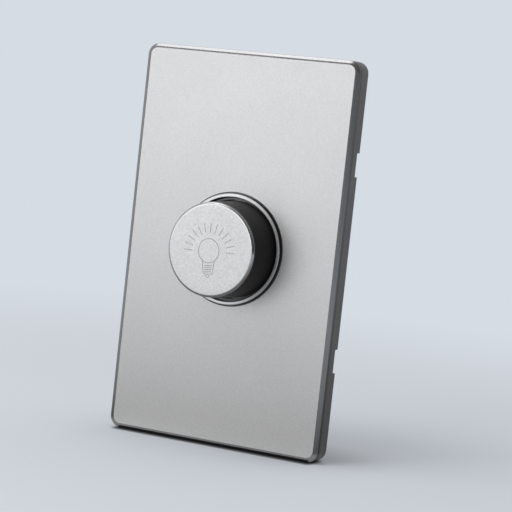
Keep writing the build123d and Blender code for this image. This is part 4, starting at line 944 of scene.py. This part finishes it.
@dataclass
class RearBox:
    """Strap, housing and screws behind the cover."""

    housing_rounding: float = 0.12 * MM
    strap_rounding: float = 0.1 * MM
    strap_thickness: float = 1.2 * MM
    mark_radius: float = 2.2 * MM
    mark_depth: float = 0.12 * MM
    mark_sides: int = 40
    mark_places: tuple[Point, ...] = tuple((x * MM, z * MM) for x, z in (
        (-14.0, -20.0), (14.0, -20.0), (-14.0, 20.0), (14.0, 20.0), (0.0, -9.0), (0.0, 9.0)))
    boss_places: Point = (18.0 * MM, 26.0 * MM)
    terminal_places: Point = (9.75 * MM, 9.0 * MM)
    spin_seed: int = 11
    housing_screw: Screw = field(default_factory=lambda: Screw(
        2.8 * MM, 1.7 * MM, 1.5 * MM, 11.2 * MM, Drive.CROSS))
    wire_screw: Screw = field(default_factory=lambda: Screw(
        3.6 * MM, 2.0 * MM, 1.7 * MM, 5.1 * MM, Drive.SLOT, thread_pitch=0.7 * MM))

    def build(self) -> None:
        """Builds the pieces and dresses them."""
        strap = softened("mounting_strap", "strap_pressing", self.strap_rounding)
        dress(strap, (FINISHES["strap_steel"],))
        join_body(strap, Body.BASE, "strap_steel", "mounting_strap")
        self._housing()
        self._screws()

    def _housing(self) -> None:
        """Builds the housing with the round marks that the mould's ejector pins leave."""
        finish = FINISHES["housing_plastic"]
        housing = softened("rear_housing", "housing_moulding", self.housing_rounding)
        dress(housing, (finish,))
        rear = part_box("rear_housing")[1].y
        marks = points_piece("mark_cutter", [Vector((x, rear, z)) for x, z in self.mark_places])
        recipe = GeometryRecipe("round_marks", {"Radius": 0.0, "Depth": 0.0})
        sheet, entry = recipe.sheet, recipe.entry
        disc = sheet.result("GeometryNodeMeshCylinder", {
            "Vertices": self.mark_sides, "Radius": entry["Radius"],
            "Depth": sheet.math("MULTIPLY", entry["Depth"], 2.0)})
        recipe.close(sheet.result("GeometryNodeInstanceOnPoints", {
            "Points": entry["Geometry"], "Instance": disc, "Rotation": (math.pi / 2, 0.0, 0.0)}))
        recipe.run(marks, finish, Radius=self.mark_radius, Depth=self.mark_depth)
        carve(housing, marks)
        shade(housing.data, WIDE_SMOOTH)
        level_faces(housing)
        join_body(housing, Body.BASE, "housing_plastic", "rear_housing")

    def _screws(self) -> None:
        """Places the housing's screws and the binding screws of the terminals."""
        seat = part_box("mounting_strap")[1].y - self.strap_thickness
        x, z = self.boss_places
        bosses = [Vector((side * x, seat, end * z)) for side in (-1, 1) for end in (-1, 1)]
        self._screw_set("housing_screw_set", bosses, self.housing_screw, (math.pi / 2, 0.0, 0.0),
                        "screw_steel", "housing_screws")
        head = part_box("wire_screws")[1].x - self.wire_screw.head_height
        y, z = self.terminal_places
        terminals = [Vector((head, y, end * z)) for end in (-1, 1)]
        self._screw_set("wire_screw_set", terminals, self.wire_screw, (0.0, math.pi / 2, 0.0),
                        "terminal_brass", "wire_screws")

    def _screw_set(self, name: str, places: Sequence[Vector], screw: Screw, lie: Triple,
                   slot: str, node: str) -> None:
        """Places copies of a screw, each turned by its own angle.

        Args:
            name: name of the piece.
            places: seats of the heads.
            screw: the screw.
            lie: turn from Z to the screws' axis.
            slot: the record's material slot.
            node: node that the piece replaces.
        """
        template = screw.template()
        piece = points_piece(name, places)
        recipe = GeometryRecipe(name, {"Lie": (0.0, 0.0, 0.0), "Seed": 0, "Template": None})
        sheet, entry = recipe.sheet, recipe.entry
        shape = sheet.add("GeometryNodeObjectInfo", {"Object": entry["Template"]}).outputs["Geometry"]
        limits = {2: 0.0, 3: math.pi}  # the sockets of single numbers
        spin = sheet.add("FunctionNodeRandomValue", {**limits, "Seed": entry["Seed"]}).outputs[1]
        turn = sheet.result("ShaderNodeCombineXYZ", {"Z": spin})
        lie_turn, own_turn = (sheet.result("FunctionNodeEulerToRotation", {0: euler})
                              for euler in (entry["Lie"], turn))
        both = sheet.result("FunctionNodeRotateRotation", {0: lie_turn, 1: own_turn}, rotation_space="LOCAL")
        recipe.close(sheet.result("GeometryNodeInstanceOnPoints", {
            "Points": entry["Geometry"], "Instance": shape, "Rotation": both}))
        recipe.run(piece, FINISHES[slot], Lie=lie, Seed=self.spin_seed, Template=template)
        drop(template)
        join_body(piece, Body.BASE, slot, node)


@dataclass
class CarriedParts:
    """Parts whose solids are shown as they are, with a finish of their own."""

    rows: list[dict[str, Any]]

    def dress(self) -> None:
        """Gives each shown node the finish of its slot."""
        for row in self.rows:
            node = frame["nodes"][row["node"]]
            if node.hide_render:
                continue
            dress(node, (FINISHES[row["material_slot"]],))
            LOG.info("%s: %s", row["node"], row["material_slot"])


@dataclass(frozen=True)
class Softbox:
    """A rectangular lamp that looks at the plate, with its power in watts."""

    name: str
    place: Triple
    size: Point
    power: float

    def hang(self) -> None:
        """Creates the lamp."""
        data = bpy.data.lights.new(self.name, "AREA")
        data.shape = "RECTANGLE"
        data.size, data.size_y = self.size
        data.energy = self.power
        lamp = new_piece(self.name, data)
        lamp.location = self.place
        lamp.rotation_euler = (-Vector(self.place)).to_track_quat("-Z", "Y").to_euler()


@dataclass
class Studio:
    """Pale floor, soft lamps and a room that is darker behind the camera and at a flag on the right.

    The camera sees one floor colour, with a painted contact shadow close to the foot and a glow near the
    plate that lifts its cast shadow: painted light. Reflections and bounce see painted light and shade in its
    place: a pale strip before the foot, a dark floor near it, a grey one beyond, and black right at the foot.
    """

    lean: float = math.radians(2.5)
    floor_half: float = 6.0
    foot_inset: float = 3.0 * MM
    floor_colour: RGB = (0.865, 0.91, 0.965)
    # Painted contact shadow on the floor as the camera sees it: its level at the foot and its reach.
    painted_foot_shadow: float = 0.20
    painted_foot_shadow_reach: Span = (0.0, 2.6 * MM)
    # Painted shadow right at the foot, seen only in reflections and bounce: its level and reach.
    foot_gap: float = 0.07
    foot_gap_reach: Span = (0.0, 0.6 * MM)
    # What reflections and bounce see of the floor in place of its own colour: a painted pale strip before the
    # foot, painted dark floor out to 100 mm, then a grey darker than the floor the camera sees.
    painted_pale_strip: RGB = (0.95, 0.955, 0.96)
    painted_pale_strip_reach: Span = (4.0 * MM, 16.0 * MM)
    painted_dark_bounce: RGB = (0.22, 0.221, 0.223)
    painted_dark_bounce_reach: Span = (0.0, 100.0 * MM)
    painted_grey_bounce: RGB = (0.48, 0.485, 0.492)
    # Glow of the backdrop's colour: near the plate it lifts the cast shadow, painted light; far off it blends
    # the floor into the backdrop.
    shadow_lift_glow: float = 0.22
    shadow_lift_glow_reach: Span = (0.0, 30.0 * MM)
    far_fade: float = 0.78
    far_fade_reach: Span = (80.0 * MM, 350.0 * MM)
    backdrop: RGB = (0.672, 0.716, 0.767)
    room_pale: RGB = (0.66, 0.662, 0.668)
    room_dark: RGB = (0.20, 0.20, 0.202)
    dark_side: Triple = (0.55, -0.83, -0.1)
    dark_range: Span = (-0.2, 0.6)
    flag: RGB = (0.04, 0.04, 0.041)
    flag_side: Triple = (1.0, -0.1, 0.0)
    flag_range: Span = (0.75, 0.92)
    lamps: tuple[Softbox, ...] = (
        Softbox("key_softbox", (-0.27, -0.615, 0.11), (0.495, 0.315), 1.09),
        Softbox("top_softbox", (-0.28, -0.25, 0.58), (0.38, 0.38), 0.97))

    def build(self) -> None:
        """Builds floor, world and lamps."""
        bpy.context.scene.view_settings.view_transform = "Standard"
        self._floor()
        self._world()
        for lamp in self.lamps:
            lamp.hang()

    def _floor(self) -> None:
        """Lays the floor under the foot of the leaning plate."""
        low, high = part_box("panel_frame")
        foot = Vector(((low.x + high.x) / 2, 0.0, low.z))
        half = Vector((high.x - self.foot_inset, -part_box("front_panel")[0].y / 2, self.floor_half))
        across = Vector((self.floor_half, 0.0, 0.0))
        away = Vector((0.0, math.cos(self.lean), math.sin(self.lean))) * self.floor_half
        corners = [foot - across - away, foot + across - away, foot + across + away, foot - across + away]
        mesh = bpy.data.meshes.new("studio_floor")
        mesh.from_pydata([tuple(corner) for corner in corners], [], [(0, 1, 2, 3)])
        mesh.materials.append(self._paper(foot, half))
        floor = new_piece("studio_floor", mesh)

    def _paper(self, foot: Vector, half: Vector) -> Material:
        """Builds the floor's material, which fades into the backdrop far away and carries painted light and
        shade near the plate.

        Args:
            foot: middle of the edge that the plate stands on.
            half: half the size of the block that the plate stands as.
        Returns:
            The material.
        """
        paper = bpy.data.materials.new("studio_paper")
        paper.use_nodes = True
        sheet = NodeSheet(paper.node_tree)
        place = sheet.add("ShaderNodeTexCoord").outputs["Object"]
        offset = sheet.vector("ADD", place, (-foot.x, half.y, -foot.z))
        outside = sheet.vector("SUBTRACT", sheet.vector("ABSOLUTE", offset), tuple(half))
        distance = sheet.vector("LENGTH", sheet.vector("MAXIMUM", outside, (0.0, 0.0, 0.0)), output="Value")
        foot_shadow_paint, clear, ahead, beyond, near, far = (
            sheet.spread(distance, span, low, high, smooth=True) for span, low, high in (
                (self.painted_foot_shadow_reach, self.painted_foot_shadow, 1.0), (self.foot_gap_reach, self.foot_gap, 1.0),
                (self.painted_pale_strip_reach, 0.0, 1.0), (self.painted_dark_bounce_reach, 0.0, 1.0),
                (self.shadow_lift_glow_reach, 0.0, self.shadow_lift_glow), (self.far_fade_reach, 0.0, self.far_fade)))
        path = sheet.add("ShaderNodeLightPath").outputs
        camera = path["Is Camera Ray"]
        mirrored = sheet.math("MAXIMUM", path["Is Glossy Ray"], path["Is Transmission Ray"])
        seen = sheet.math("MAXIMUM", camera, mirrored)
        # Near the plate the glow lifts the cast shadow for the camera, painted light; far off the floor
        # blends into the backdrop for camera and reflections.
        fade = sheet.math("ADD", sheet.math("MULTIPLY", near, camera), sheet.math("MULTIPLY", far, seen))
        # Reflections and bounce see painted light and shade: the pale strip, the dark floor, the grey beyond,
        # and black right at the foot.
        close_by = sheet.blend(ahead, self.painted_pale_strip, self.painted_dark_bounce)
        bounce = sheet.blend(clear, BLACK, sheet.blend(beyond, close_by, self.painted_grey_bounce))
        # The camera sees the floor's own colour under the painted contact shadow.
        colour = sheet.blend(camera, bounce, sheet.blend(foot_shadow_paint, BLACK, self.floor_colour))
        matt = sheet.result("ShaderNodeBsdfDiffuse", {"Color": colour})
        glow = sheet.result("ShaderNodeEmission", {"Color": (*self.backdrop, 1.0)})
        top = sheet.result("ShaderNodeMixShader", {0: fade, 1: matt, 2: glow})
        below = sheet.add("ShaderNodeNewGeometry").outputs["Backfacing"]
        sides = sheet.result("ShaderNodeMixShader", {
            0: below, 1: top, 2: sheet.result("ShaderNodeBsdfTransparent")})
        sheet.add("ShaderNodeOutputMaterial", {"Surface": sides})
        return paper

    def _world(self) -> None:
        """Fills the world: the backdrop for the camera, a room with darker sides for reflections."""
        world = bpy.data.worlds.new("studio_room")
        world.use_nodes = True
        sheet = NodeSheet(world.node_tree)
        look = sheet.add("ShaderNodeTexCoord").outputs["Generated"]
        room = self.room_pale
        for colour, toward, span in ((self.room_dark, self.dark_side, self.dark_range),
                                     (self.flag, self.flag_side, self.flag_range)):
            side = sheet.vector("DOT_PRODUCT", look, tuple(Vector(toward).normalized()), output="Value")
            room = sheet.blend(sheet.spread(side, span, smooth=True), room, colour)
        camera = sheet.add("ShaderNodeLightPath").outputs["Is Camera Ray"]
        colour = sheet.blend(camera, room, self.backdrop)
        light = sheet.result("ShaderNodeBackground", {"Color": colour, "Strength": 1.0})
        sheet.add("ShaderNodeOutputWorld", {"Surface": light})
        bpy.context.scene.world = world


@dataclass
class PhotoCamera:
    """The camera at the photograph's place."""

    aim: Triple = (8.574 * MM, -7.0 * MM, -0.937 * MM)
    azimuth: float = math.radians(25.2802)
    elevation: float = math.radians(3.7691)
    roll: float = math.radians(6.2271)
    distance: float = 570.726 * MM
    lens: float = 135.6015
    sensor: float = 36.0
    clip_start: float = 10.0 * MM

    def place(self) -> None:
        """Creates the camera and makes it the scene's."""
        flat = math.cos(self.elevation)
        back = Vector((math.sin(self.azimuth) * flat, -math.cos(self.azimuth) * flat,
                       math.sin(self.elevation)))
        level = Vector((math.cos(self.azimuth), math.sin(self.azimuth), 0.0))
        upright = back.cross(level)
        right = level * math.cos(self.roll) + upright * math.sin(self.roll)
        axes = Matrix((right, back.cross(right), back)).transposed().to_4x4()
        data = bpy.data.cameras.new("photo_camera")
        data.lens = self.lens
        data.sensor_width = self.sensor
        data.sensor_fit = "HORIZONTAL"
        data.clip_start = self.clip_start
        camera = new_piece("photo_camera", data)
        camera.matrix_world = Matrix.Translation(Vector(self.aim) + back * self.distance) @ axes
        bpy.context.scene.camera = camera


def main() -> None:
    """Builds the pieces, dresses them, and sets up studio and camera."""
    logging.basicConfig(level=logging.INFO, format="%(name)s %(message)s")
    CoverPlate().build()
    Knob().build()
    RearBox().build()
    CarriedParts(frame["record"]["subparts"]).dress()
    Studio().build()
    PhotoCamera().place()


if __name__ == "__main__":
    main()
